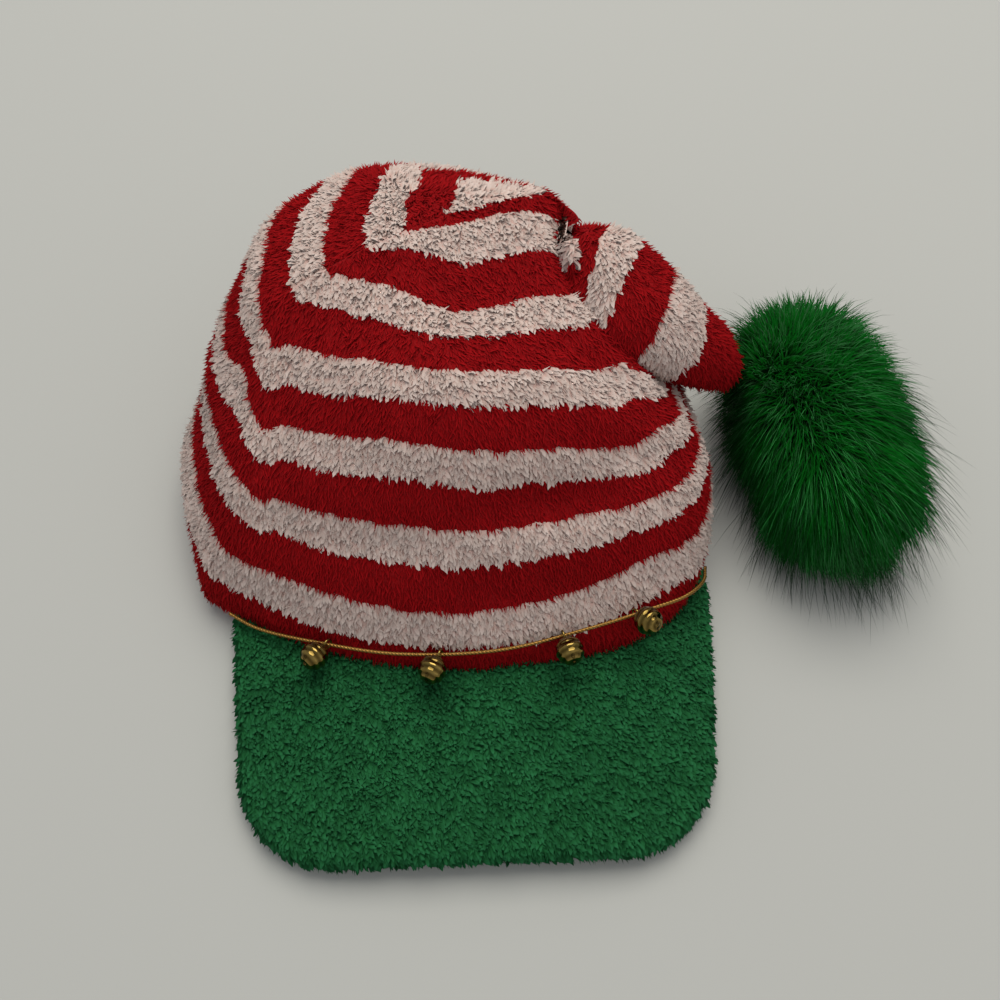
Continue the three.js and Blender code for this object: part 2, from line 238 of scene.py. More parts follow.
def vector_of(tree, x, y, z):
    return add(tree, "ShaderNodeCombineXYZ", {0: x, 1: y, 2: z}).outputs[0]


def noise_at(tree, place, scale, detail, output=0):
    node = add(tree, "ShaderNodeTexNoise", {"Vector": place, "Scale": scale, "Detail": detail})
    return node.outputs[output]


def position(tree):
    return add(tree, "GeometryNodeInputPosition").outputs[0]


def new_tree(name, inputs):
    """An empty tree with a Geometry input and output and the named inputs."""
    tree = bpy.data.node_groups.new(name, "GeometryNodeTree")
    tree.interface.new_socket("Geometry", in_out="INPUT", socket_type="NodeSocketGeometry")
    for label, kind in inputs.items():
        tree.interface.new_socket(label, in_out="INPUT", socket_type="NodeSocket" + kind)
    tree.interface.new_socket("Geometry", in_out="OUTPUT", socket_type="NodeSocketGeometry")
    return tree, tree.nodes.new("NodeGroupInput").outputs, tree.nodes.new("NodeGroupOutput").inputs


def grown(base, tree, name, values):
    """What the tree makes on the base object, as a plain mesh object of its own."""
    modifier = base.modifiers.new(name, "NODES")
    modifier.node_group = tree
    sockets = {item.name: item.identifier for item in tree.interface.items_tree if item.in_out == "INPUT"}
    for label, value in values.items():
        modifier[sockets[label]] = value
    made = plain_copy(base, name)
    base.modifiers.remove(modifier)
    return made


# %% [markdown]
# ## The crown's shape
# The crown is a soft dome of cloth. A table gives its rings from the rim to the top, the same ones
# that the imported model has: where each ring reaches furthest to the front, back and right, and where
# its creased corner at the seam lies. Four curves join those points, and smooth columns join the rings.

# %% Ring table
def table(columns, *rows):
    """Rows of values as dicts with the named columns."""
    return [dict(zip(columns.split(), row)) for row in rows]


CROWN_RINGS = table(
    "front seam back right bow bulge sag",
    ((0, -82, 0), (-104, -40, 0), (0, 88, 0), (96, -2, 0), 1, 10, 0),
    ((0, -82, 14), (-105, -40, 13), (0, 90, 13), (97, -3, 13), 1, 20, 0),
    ((0, -76, 25), (-101, -36, 24), (-2, 102, 22), (99, -4, 22), 1, 38, 2),
    ((0, -56, 49), (-90, -26, 44), (-6, 114, 38), (97, -6, 40), 0.9, 36, 5),
    ((0, -34.5, 72), (-82, -7, 60), (-10, 117, 56), (90, -4, 55), 0.7, 42, 9),
    ((0, -13, 91), (-77, 19, 73), (-20, 119, 72), (75, 8, 71), 0.3, 26, 12),
    ((1, 10, 97), (-66, 41, 88), (-28, 117, 83), (62, 24, 86), 0, 18, 9),
    ((8, 46, 102.5), (-37, 50, 99), (-14, 104, 91), (52, 44, 96), 0, 2, 3),
    ((22, 65, 104.5), (-12, 59, 103), (6, 91, 96), (52, 56, 99), 0, 0, 0),
    ((36, 70, 104.5), (16, 72, 104.5), (27, 81, 101), (47, 68, 101), 0, 0, 0),
)
CROWN_TOP = (38, 72, 104)
LAST_ROW = len(CROWN_RINGS) - 1
RIM_UPRIGHT = 14  # mm up to which the wall stands straight


# %% Curves through table rows
def smooth(points, shares, centripetal=False):
    """Points on a Catmull-Rom curve through the rows, at shares of the way from the first to the last."""
    points = np.asarray(points, float).reshape(len(points), -1)
    at = np.clip(np.atleast_1d(shares), 0, 1) * (len(points) - 1)
    low = np.minimum(at.astype(int), len(points) - 2)
    t = (at - low)[:, None]
    rows = np.vstack([2 * points[0] - points[1], points, 2 * points[-1] - points[-2]])
    a, b, c, d = (rows[low + k] for k in range(4))
    if centripetal:
        gap = [np.sqrt(np.linalg.norm(q - p, axis=1, keepdims=True)) for p, q in ((a, b), (b, c), (c, d))]
        leave = ((b - a) / gap[0] - (c - a) / (gap[0] + gap[1]) + (c - b) / gap[1]) * gap[1]
        arrive = ((c - b) / gap[1] - (d - b) / (gap[1] + gap[2]) + (d - c) / gap[2]) * gap[1]
    else:
        leave, arrive = (c - a) / 2, (d - b) / 2
    return b + leave * t + (3 * (c - b) - 2 * leave - arrive) * t**2 + (2 * (b - c) + leave + arrive) * t**3


def crown_quarters(shares):
    """The four curves of the rings at these shares, each as four control points."""
    columns = {key: [row[key] for row in CROWN_RINGS] for key in CROWN_RINGS[0]}
    front, seam, back, right = (smooth(columns[key], shares) for key in ("front", "seam", "back", "right"))
    at, rows = shares * LAST_ROW, np.arange(LAST_ROW + 1)
    bow, bulge, sag = (np.interp(at, rows, columns[key]) for key in ("bow", "bulge", "sag"))
    none = np.zeros_like(sag)
    swell, droop = np.stack([-bulge, none, -sag], 1), np.stack([none, none, -sag], 1)

    def handle(a, b, x, y, z):
        return a + (b - a) * np.stack([x + none, y + none, z + none], 1)

    return [
        (front, handle(front, seam, 0.5, 0.32 - 0.22 * bow, 0.3),
         handle(seam, front, 0.24, 0.27 + 0.15 * bow, 0.2), seam),
        (seam, handle(seam, back, 0, 0.62, 0.5) + swell, handle(back, seam, 0.88, 0, 0.2) + droop, back),
        (back, handle(back, right, 0.6, 0, 0.2), handle(right, back, 0, 0.6, 0.5), right),
        (right, handle(right, front, -0.07, 0.95, 0.35), handle(front, right, 0.62, 0, 0.3), front),
    ]


def bezier(controls, t):
    a, b, c, d = (point[:, None, :] for point in controls)
    t = np.asarray(t)[None, :, None]
    return a * (1 - t)**3 + 3 * b * t * (1 - t)**2 + 3 * c * t**2 * (1 - t) + d * t**3


def crown_grid(shares, sides):
    t = np.arange(sides // 4) * 4 / sides
    return np.concatenate([bezier(quarter, t) for quarter in crown_quarters(np.asarray(shares))], axis=1)


def grid_normals(grid, level_rows=0):
    """Outward directions on a stack of rings. The upright rim's stay level."""
    along = np.roll(grid, -1, 1) - np.roll(grid, 1, 1)
    normal = np.cross(np.gradient(grid, axis=0), along)
    normal[:level_rows, :, 2] = 0
    return normal / np.maximum(np.linalg.norm(normal, axis=2, keepdims=True), 1e-9)


print("a ring halfway up:", crown_grid([0.5], 4).round(1).tolist())

# %% [markdown]
# Real fleece never hangs smooth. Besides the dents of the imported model, the cloth gets a groove along
# its seam, soft folds where it bunches up, and a slow ripple from smooth noise.

# %% Dents, folds and ripple
DENTS = table(
    "at level upright depth",
    ((35, -42, 62), 28, 8, 4),
    ((20, 30, 100), 30, 12, 2.5),
)
FOLDS = table(
    "start end width depth",
    ((50, -30, 77), (92, -22, 60), 9, 2.2),
    ((40, 8, 97), (72, -12, 77), 8, 1.8),
    ((47, 56, 98), (55, 34, 93), 6.5, 6),
    ((-40, 20, 93), (20, 26, 99), 11, 1.2),
    ((-70, -30, 48), (-20, -50, 52), 10, 1.4),
    ((10, -66, 37), (70, -58, 34), 10, 1.3),
)


def dent_depth(points):
    depth = np.zeros(points.shape[:-1])
    for dent in DENTS:
        x, y, z = np.moveaxis(points - np.array(dent["at"], float), -1, 0)
        depth += dent["depth"] * np.exp(-(x**2 + y**2) / dent["level"]**2 - z**2 / dent["upright"]**2)
    return depth


def fold_depth(points):
    depth = np.zeros(points.shape[:-1])
    for fold in FOLDS:
        start, end = np.array(fold["start"], float), np.array(fold["end"], float)
        run = end - start
        share = np.clip((points - start) @ run / (run @ run), 0, 1)
        off = np.linalg.norm(points - start - share[..., None] * run, axis=-1)
        depth += fold["depth"] * np.exp(-(off / fold["width"])**2)
    return depth


def ripple(points, size, shift):
    flat = points.reshape(-1, 3) / size + shift
    return np.array([noise.noise(Vector(point)) for point in flat]).reshape(points.shape[:-1])


# %% [markdown]
# ## The tail
# Past the top ridge the cloth goes on as a soft flat tube that falls to the right and ends in the
# pompom. It is made of oval sections along a curve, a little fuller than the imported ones.

# %% Tail sections
TAIL_SECTIONS = table(
    "at wide thick",
    ((42, 45, 77), 26, 14),
    ((60, 35.5, 84), 26.5, 16),
    ((77, 28, 78.5), 23.5, 16),
    ((92, 24, 68), 19.5, 13.5),
    ((105, 23, 57.5), 16, 10.5),
    ((110, 22.5, 52.5), 12, 7.5),
)
TAIL_TIP = np.array([112.5, 21.5, 49.0])
TAIL_CLOTH = dict(row=[0, 0.8, 1.2, 2, 3, 4, 5], height=[236, 247, 263, 283, 299, 307, 310])
TAIL_TIP_CLOTH = 311  # mm of cloth from the rim, like the heights in the line above
TAIL_ACROSS = np.array([-0.27, 0.89, 0.36])  # roughly the direction of the wide half-size


def tail_column(key, shares):
    return smooth([row[key] for row in TAIL_SECTIONS], shares)[:, 0]


def tail_grid(shares, sides, inset):
    centre = smooth([row["at"] for row in TAIL_SECTIONS], shares, centripetal=True)
    along = np.gradient(centre, axis=0)
    along /= np.linalg.norm(along, axis=1, keepdims=True)
    thin = np.cross(along, TAIL_ACROSS)
    thin /= np.linalg.norm(thin, axis=1, keepdims=True)
    across = np.cross(thin, along)
    angle = np.arange(sides) * 2 * math.pi / sides
    wide = (tail_column("wide", shares) - inset)[:, None] * np.cos(angle)
    thick = (tail_column("thick", shares) - inset)[:, None] * np.sin(angle)
    return centre[:, None] + across[:, None] * wide[..., None] - thin[:, None] * thick[..., None]


# %% [markdown]
# ## One skin of cloth
# Each closed shape carries a UV map that holds the way round the hat and the height up the cloth. A
# Boolean keeps UV maps, so the stripes can be read from the map after the shapes are joined into one
# skin, with a true crease where the tail lies on the dome, and the inside is taken out.

# %% Stripes and finishes of the cloth
FIRST_STRIPE = 0.0255  # m of cloth from the rim to the lowest white stripe
PAIR = 0.032  # from one white stripe to the next
WHITE_SHARE = 0.42  # long white tufts hang over the red below them, so the white ground is the narrower
WOBBLE = 0.0016  # how far a knitted edge strays
SWAY = 0.0012  # how far a whole stripe wanders up and down


def is_white(tree, height, place):
    """1 where the cloth is white and 0 where it is red. It works in shader and geometry trees alike."""
    moved = maths(tree, "SUBTRACT", height, FIRST_STRIPE)
    for scale, reach in ((160.0, WOBBLE), (24.0, SWAY)):
        stray = maths(tree, "SUBTRACT", noise_at(tree, place, scale, 1.0), 0.5)
        moved = maths(tree, "MULTIPLY_ADD", stray, 2 * reach, moved)
    within = maths(tree, "LESS_THAN", maths(tree, "FLOORED_MODULO", moved, PAIR), PAIR * WHITE_SHARE)
    return maths(tree, "MULTIPLY", within, maths(tree, "GREATER_THAN", moved, 0.0))


def mixed(tree, factor, first, second):
    """A colour between two colours or colour outputs."""
    node = add(tree, "ShaderNodeMix", {0: factor, 6: first, 7: second}, data_type="RGBA")
    return node.outputs[2]


def grain_of(tree, shader, place, scale, depth):
    """Fine noise that also roughens the surface."""
    grain = noise_at(tree, place, scale, 3.0)
    raised = add(tree, "ShaderNodeBump", {"Height": grain, "Strength": 0.6, "Distance": depth})
    tree.links.new(raised.outputs[0], shader.inputs["Normal"])
    return grain


def object_place(tree):
    return add(tree, "ShaderNodeTexCoord").outputs["Object"]


def mottled(name, dark, light, scale, depth, **finish):
    """A finish whose fine noise goes from a dark to a light colour and roughens the surface."""
    material, tree, shader = finish_of(name, **finish)
    grain = grain_of(tree, shader, object_place(tree), scale, depth)
    tree.links.new(mixed(tree, grain, (*dark, 1), (*light, 1)), shader.inputs["Base Color"])
    return material


striped_cloth, tree, shader = finish_of("striped_cloth")
place = object_place(tree)
height = axis_of(tree, add(tree, "ShaderNodeUVMap", uv_map="cloth").outputs[0], "Y")
grain = grain_of(tree, shader, place, 700.0, 0.0006)
red = mixed(tree, grain, (0.20, 0.003, 0.004, 1), (0.36, 0.008, 0.010, 1))
white = mixed(tree, grain, (0.56, 0.42, 0.36, 1), (0.76, 0.61, 0.53, 1))
tree.links.new(mixed(tree, is_white(tree, height, place), red, white), shader.inputs["Base Color"])

backing = mottled("knitted_backing", (0.42, 0.38, 0.35), (0.62, 0.57, 0.53), 900.0, 0.0004)
print("cloth finishes:", striped_cloth.name, backing.name)

# %% Closed shapes for the cloth
PILE_DEPTH = 1.5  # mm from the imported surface, where the pile ends, in to the cloth under it
CLOTH_INSIDE = 4.0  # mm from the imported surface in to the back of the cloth
SEAM = dict(turn=0.25, width=0.009, depth=1.1)
RIPPLE = dict(size=24, shift=3.0)
RIPPLE_HEIGHT = 0.9
TAIL_RIPPLE = dict(size=18, shift=9.0)
TAIL_RIPPLE_HEIGHT = 0.8


def with_cloth_map(thing, below, above, fold_row, last_height, slot):
    """Adds the cloth's UV map in metres, and puts every face in one material slot.

    below and above are heights in mm, a row for each ring, for the faces on either side of the fold."""
    rows, sides = below.shape
    mesh = thing.data
    corner = corner_points(mesh)
    face_row = np.repeat([*range(rows - 1), 0, rows - 1], [*[4 * sides] * (rows - 1), 3 * sides, 3 * sides])
    ends = [below[0, 0], last_height]
    height = np.where(face_row >= fold_row, np.append(above, ends)[corner], np.append(below, ends)[corner])
    turn = np.append(np.tile(np.arange(sides) / sides, rows), [0, 0])
    add_map(mesh, "cloth", turn[corner], height * MM)
    mesh.polygons.foreach_set("material_index", np.full(len(mesh.polygons), slot, np.int32))
    return thing


# %% [markdown]
# The crown is a tall cone that has slumped to the right. Two panels meet at its seam, so the stripes turn
# a corner there and climb over the top ridge. Behind the ridge the slack cloth hangs over the wall of the
# hat as a flap, and a fold parts its stripes from the level ones below. Each stripe lies at one length of
# cloth from the rim. That length is the way up the crown, plus the slack cloth bunched up on the way, and
# a few puckers let out or take in some cloth where the stripes bend.

# %% Cloth up to each place
SLACK = dict(turn=[0, 0.16, 0.25, 0.32, 0.38, 0.44, 0.5, 0.56, 0.64, 0.75, 0.83, 0.92, 1],
             mm=[4, 9, 8, 20, 37, 58, 70, 84, 84, 56, 20, 8, 4])
SLACK_ROWS = [3, 5]  # rows of the ring table between which the slack comes in
PUCKERS = table(
    "row turn rows turns mm",
    (2.6, 0.89, 0.8, 0.05, -8),
    (4.3, 0.88, 0.5, 0.05, 4),
    (4.4, 0.06, 1.0, 0.05, -4),
    (6.5, 0.0, 0.7, 0.06, 7),
    (7.8, 0.97, 0.4, 0.08, -5),
    (9.0, 0.06, 0.7, 0.13, -11),
    (4.6, 0.21, 1.8, 0.02, 7),
    (4.9, 0.255, 0.6, 0.015, -10),
    (5.8, 0.31, 0.4, 0.03, -9),
    (6.1, 0.40, 0.4, 0.05, -5),
    (9.0, 0.53, 0.6, 0.04, -26),
    (9.0, 0.68, 0.6, 0.05, 14),
)
FOLD = dict(row=4.4, rows=0.3, depth=2.2)
BACK_WALL = dict(row=[0, 1, 2, 3, 4, 5], height=[0, 13, 28, 48, 66, 82])  # mm of cloth under the flap


def cloth_heights(plain, shares, turns):
    """Heights up the cloth below and above the fold at the back, and how far behind each turn lies."""
    rows = shares * LAST_ROW
    way_up = np.linalg.norm(np.diff(plain, axis=0, prepend=plain[:1]), axis=2).cumsum(0)
    slack = np.interp(turns, SLACK["turn"], SLACK["mm"])
    above = way_up + slack * np.interp(rows, SLACK_ROWS, [0, 1])[:, None]
    for pucker in PUCKERS:
        aside = (turns - pucker["turn"] + 0.5) % 1 - 0.5
        up = (rows - pucker["row"])[:, None]
        above += pucker["mm"] * np.exp(-(up / pucker["rows"])**2 - (aside / pucker["turns"])**2)
    behind = np.interp(turns, [0.38, 0.46, 0.64, 0.75], [0, 1, 1, 0])
    wall = np.interp(rows, BACK_WALL["row"], BACK_WALL["height"])[:, None]
    return above + (wall - above) * behind, above, behind


def dome_shape(name, inset, floor_level, rows, sides, left_off, slot):
    shares, turns = np.linspace(0, 1, rows), np.arange(sides) / sides
    plain = crown_grid(shares, sides)
    normal = grid_normals(plain, int((plain[:, 0, 2] <= RIM_UPRIGHT).sum()))
    below, above, behind = cloth_heights(plain, shares, turns)
    groove = SEAM["depth"] * np.exp(-((turns - SEAM["turn"]) / SEAM["width"])**2)
    fold = FOLD["depth"] * behind * np.exp(-((shares * LAST_ROW - FOLD["row"]) / FOLD["rows"])**2)[:, None]
    loose = np.clip(shares * 5 - 0.6, 0, 1)[:, None]  # 0 at the rim, which the peak and the cord hold flat
    depth = inset + dent_depth(plain) + fold
    depth += loose * (fold_depth(plain) + RIPPLE_HEIGHT * ripple(plain, **RIPPLE) + groove)
    grid = (plain - normal * depth[..., None])[:rows - left_off]
    grid[0, :, 2] = floor_level
    top = grid[-1].mean(0) if left_off else np.array(CROWN_TOP) - (0, 0, inset)
    points = np.vstack([grid.reshape(-1, 3), [0, 0, floor_level], top])
    thing = mesh_object(name, placed(points), skin_faces(len(grid), sides), [striped_cloth, backing])
    fold_row = int(FOLD["row"] / LAST_ROW * (rows - 1))
    below, above = below[:len(grid)], above[:len(grid)]
    return with_cloth_map(thing, below, above, fold_row, above[-1].mean(), slot)


def tail_shape(name, inset, rows, sides, left_off, slot):
    shares = np.linspace(0, 1, rows)
    plain = tail_grid(shares, sides, inset)
    loose = np.clip(shares * 4 - 0.8, 0, 1)[:, None]  # 0 where the tail lies in the dome
    lumps = TAIL_RIPPLE_HEIGHT * ripple(plain, **TAIL_RIPPLE) * loose
    grid = (plain + grid_normals(plain) * lumps[..., None])[:rows - left_off]
    end = grid[-1].mean(0) if left_off else TAIL_TIP
    points = np.vstack([grid.reshape(-1, 3), grid[0].mean(0), end])
    thing = mesh_object(name, placed(points), skin_faces(len(grid), sides), [striped_cloth, backing])
    run = shares[:len(grid), None] * (len(TAIL_SECTIONS) - 1)
    heights = np.repeat(np.interp(run, TAIL_CLOTH["row"], TAIL_CLOTH["height"]), sides, 1)
    return with_cloth_map(thing, heights, heights, 0, TAIL_TIP_CLOTH, slot)


# %% Join the shapes and hollow them out
def cut(base, operation, other):
    step = base.modifiers.new(operation.lower(), "BOOLEAN")
    step.operation, step.object, step.solver = operation, other, "MANIFOLD"


outside = dome_shape("outside", PILE_DEPTH, floor_level=0.0, rows=105, sides=148, left_off=0, slot=0)
outside_tail = tail_shape("outside_tail", PILE_DEPTH, rows=41, sides=48, left_off=0, slot=0)
# The inside leaves off its top rows, so that it can't break through the notch beside the tail.
inside = dome_shape("inside", CLOTH_INSIDE, floor_level=-1.0, rows=49, sides=64, left_off=14, slot=1)
inside_tail = tail_shape("inside_tail", CLOTH_INSIDE, rows=25, sides=24, left_off=3, slot=1)
cut(outside, "UNION", outside_tail)
cut(inside, "UNION", inside_tail)
cut(outside, "DIFFERENCE", inside)
crown_fleece = plain_copy(outside, "crown_fleece")
discard(outside, outside_tail, inside, inside_tail)


def open_edges(thing):
    """Edges that don't lie between exactly two faces. A closed skin has none."""
    loop_edge = np.zeros(len(thing.data.loops), np.int32)
    thing.data.loops.foreach_get("edge_index", loop_edge)
    return int((np.bincount(loop_edge, minlength=len(thing.data.edges)) != 2).sum())


print("open edges in the crown:", open_edges(crown_fleece))

# %% [markdown]
# ## Pile
# The fleece is knitted with loops that are cut and combed, so each colour stands up in small soft
# tufts that droop towards the floor. Hair curves would look right but don't export, so Geometry Nodes
# scatter small closed locks over the cloth: blunt tufts of ten triangles for white and green, and thin
# fibres of four for the red pile and for the fluff between the tufts. The locks of one neighbourhood lean
# together, which gives the clumps that real pile has. Each lock is shaded mostly like the cloth below it,
# so that the pile looks soft.


# %% Locks of yarn
def lock_mesh(name, rings, width, bend, taper=0.8, swell=1.0):
    """A closed three-sided lock one metre long that leans over towards +X, with its own along attribute.

    A swell below 1 moves its rings up towards the tip, which makes the tip blunt."""
    share = (np.arange(rings) / rings)**swell
    angle = np.arange(3) * 2 * math.pi / 3
    radius = (width * (1 - taper * share**2))[:, None]
    ring = np.stack([radius * np.cos(angle) + bend * share[:, None]**2, radius * np.sin(angle),
                     np.repeat(share[:, None], 3, 1)], -1)
    points = np.vstack([ring.reshape(-1, 3), [bend, 0, 1]])
    sides = [(i * 3 + j, i * 3 + (j + 1) % 3, i * 3 + 3 + (j + 1) % 3, i * 3 + 3 + j)
             for i in range(rings - 1) for j in range(3)]
    last = 3 * (rings - 1)
    tip = [(last + j, last + (j + 1) % 3, 3 * rings) for j in range(3)]
    thing = mesh_object(name, points, [*sides, *tip, (2, 1, 0)])
    along = thing.data.attributes.new("along", "FLOAT", "POINT")
    along.data.foreach_set("value", np.append(np.repeat(share, 3), 1).astype(np.float32))
    return thing


def lock_set(name, rows):
    """A collection of locks that is kept out of the scene."""
    kept = bpy.data.collections.new(name)
    for number, row in enumerate(rows):
        lock = lock_mesh(f"{name}_{number}", **row)
        scene.collection.objects.unlink(lock)
        kept.objects.link(lock)
    return kept


tufts = lock_set("tufts", table(
    "rings width bend taper swell",
    (2, 0.28, 0.40, 0.35, 0.45),
    (2, 0.24, 0.20, 0.30, 0.45),
    (2, 0.32, 0.60, 0.35, 0.45)))
fibres = lock_set("fibres", table("rings width bend", (1, 0.16, 0.25), (1, 0.13, 0.1), (1, 0.20, 0.35)))
print("triangles in a tuft and a fibre:", triangles(tufts.objects[0]), triangles(fibres.objects[0]))


# %% Tree that grows pile
LOWEST_ROOT = 0.0030  # m above the floor, so that the lowest tufts don't reach through it
MOST_ROOTS = 1.2e7  # for each square metre, before those that stand too close are left out


def random_number(tree, low, high, seed):
    node = add(tree, "FunctionNodeRandomValue", {2: low, 3: high, "Seed": seed}, data_type="FLOAT")
    return node.outputs[1]


def level_part(tree, vector, normal):
    """The part of a vector that lies along the surface."""
    upright = scaled(tree, normal, vectors(tree, "DOT_PRODUCT", vector, normal))
    return vectors(tree, "SUBTRACT", vector, upright)


def roots_on(tree, given, place):
    """Evenly spread points on the faces in the first material slot, clear of the floor."""
    outer = maths(tree, "LESS_THAN", add(tree, "GeometryNodeInputMaterialIndex").outputs[0], 0.5)
    cloth = add(tree, "GeometryNodeSeparateGeometry", {0: given["Geometry"], 1: outer}, domain="FACE")
    points = add(tree, "GeometryNodeDistributePointsOnFaces", {
        "Mesh": cloth.outputs[0], "Distance Min": given["Spacing"], "Density Max": MOST_ROOTS,
        "Seed": given["Seed"]}, distribute_method="POISSON")
    low = maths(tree, "LESS_THAN", axis_of(tree, place, "Z"), LOWEST_ROOT)
    clear = add(tree, "GeometryNodeDeleteGeometry", {0: points.outputs["Points"], 1: low}, domain="POINT")
    return clear.outputs[0], points.outputs["Normal"]


def clump_cell(tree, given, place):
    """The middle of the clump that a place belongs to, and that clump's own random number."""
    cell = add(tree, "ShaderNodeTexVoronoi", {
        "Vector": place, "Scale": maths(tree, "DIVIDE", 1.0, given["Clump Size"])})
    return cell.outputs["Position"], axis_of(tree, cell.outputs["Color"], "X")


def named(tree, name, kind="FLOAT"):
    return add(tree, "GeometryNodeInputNamedAttribute", {"Name": name}, data_type=kind).outputs[0]


def stored(tree, geometry, name, value, kind="FLOAT"):
    node = add(tree, "GeometryNodeStoreNamedAttribute", {
        "Geometry": geometry, "Name": name, "Value": value}, data_type=kind, domain="POINT")
    return node.outputs[0]


def softened(tree, geometry, share):
    """Turns the shading of every lock a share of the way towards that of the cloth below it."""
    own = scaled(tree, add(tree, "GeometryNodeInputNormal").outputs[0], maths(tree, "SUBTRACT", 1.0, share))
    ground = scaled(tree, named(tree, "ground", "FLOAT_VECTOR"), share)
    node = add(tree, "GeometryNodeSetMeshNormal", {
        "Mesh": geometry, "Custom Normal": vectors(tree, "ADD", own, ground)}, mode="FREE", domain="POINT")
    return node.outputs[0]


def finished(tree, given, result, geometry):
    painted = add(tree, "GeometryNodeSetMaterial", {0: geometry, "Material": given["Material"]})
    tree.links.new(painted.outputs[0], result[0])


def pile_tree():
    tree, given, result = new_tree("pile", {
        "Locks": "Collection", "Spacing": "Float", "Length": "Float", "Stand": "Float", "Droop": "Vector",
        "Clump Size": "Float", "Clumping": "Float", "Stray": "Float", "White": "Float", "Softness": "Float",
        "Seed": "Int", "Material": "Material"})
    place = position(tree)
    roots, normal = roots_on(tree, given, place)
    height = axis_of(tree, named(tree, "cloth", "FLOAT_VECTOR"), "Y")
    other_yarn = maths(tree, "SUBTRACT", is_white(tree, height, place), given["White"])
    own_roots = add(tree, "GeometryNodeDeleteGeometry", {
        0: roots, 1: maths(tree, "ABSOLUTE", other_yarn)}, domain="POINT").outputs[0]

    nap = vectors(tree, "NORMALIZE", level_part(tree, given["Droop"], normal))
    middle, shade = clump_cell(tree, given, place)
    pull = maths(tree, "DIVIDE", given["Clumping"], given["Clump Size"])
    gather = scaled(tree, level_part(tree, vectors(tree, "SUBTRACT", middle, place), normal), pull)
    lean = vectors(tree, "ADD", vectors(tree, "ADD", scaled(tree, normal, given["Stand"]), nap), gather)
    upright = add(tree, "FunctionNodeAlignRotationToVector", {"Vector": lean}, axis="Z")
    turned = add(tree, "FunctionNodeAlignRotationToVector", {
        "Rotation": upright.outputs[0], "Vector": nap}, axis="X", pivot_axis="Z")
    angles = [random_number(tree, -most, most, seed) for seed, most in enumerate((1.0, 1.0, 2.0), start=1)]
    stray = scaled(tree, vector_of(tree, *angles), given["Stray"])
    rotation = add(tree, "FunctionNodeRotateRotation", {
        0: turned.outputs[0], 1: add(tree, "FunctionNodeEulerToRotation", {0: stray}).outputs[0]},
        rotation_space="LOCAL").outputs[0]

    tint = maths(tree, "ADD", maths(tree, "MULTIPLY", shade, 0.6), random_number(tree, 0.0, 0.4, 5))
    tinted = stored(tree, stored(tree, own_roots, "tint", tint), "ground", normal, "FLOAT_VECTOR")
    locks = add(tree, "GeometryNodeCollectionInfo", {0: given["Locks"], 1: True, 2: True}).outputs[0]
    size = maths(tree, "MULTIPLY", given["Length"], random_number(tree, 0.75, 1.25, 4))
    planted = add(tree, "GeometryNodeInstanceOnPoints", {
        "Points": tinted, "Instance": locks, "Pick Instance": True, "Rotation": rotation, "Scale": size,
        "Instance Index": add(tree, "FunctionNodeRandomValue", {4: 0, 5: 100}, data_type="INT").outputs[2]})
    loose = add(tree, "GeometryNodeRealizeInstances", {0: planted.outputs[0]}).outputs[0]
    finished(tree, given, result, softened(tree, loose, given["Softness"]))
    return tree


pile = pile_tree()
print("pile tree:", len(pile.nodes), "nodes")


# %% [markdown]
# Each lock's colour runs from its root through its body to its tip. The darker roots are painted shade
# deep in the pile, and the lighter tips of most yarns are painted light where the tips catch it. The along
# attribute of each lock says how far up it a point is, and tint is one random number for each lock (for the
# fur also lowered near the whorl, as painted shade), so the shader needs no image to look like fibre.

# %% Finish of a lock of yarn
def yarn(name, root, body, tip, roughness=0.9, shine=0.04, contrast=0.34):
    material, tree, shader = finish_of(name, body, roughness, shine=shine)
    along = add(tree, "ShaderNodeAttribute", attribute_name="along").outputs["Fac"]
    tint = add(tree, "ShaderNodeAttribute", attribute_name="tint").outputs["Fac"]
    # The ramp paints shade at the root of every lock, and on most yarns painted light at its tip.
    ramp = add(tree, "ShaderNodeValToRGB", {0: along})
    stops = ramp.color_ramp.elements
    stops[0].color, stops[1].color = (*root, 1), (*tip, 1)
    stops.new(0.45).color = (*body, 1)
    dim = maths(tree, "ADD", maths(tree, "MULTIPLY", tint, contrast), 0.97 - contrast / 2)
    tree.links.new(scaled(tree, ramp.outputs[0], dim), shader.inputs["Base Color"])
    return material


def crown_yarn(name, *colours):
    """Yarn whose locks are all of nearly one shade."""
    return yarn(name, *colours, contrast=0.2)


# The darker root colours of these yarns are painted shade deep in the pile, and the lighter tip colours
# painted light.
white_yarn = crown_yarn("white_yarn", (0.62, 0.40, 0.34), (0.67, 0.515, 0.445), (0.70, 0.58, 0.51))
red_yarn = crown_yarn("red_yarn", (0.21, 0.003, 0.004), (0.33, 0.0055, 0.0075), (0.41, 0.009, 0.011))

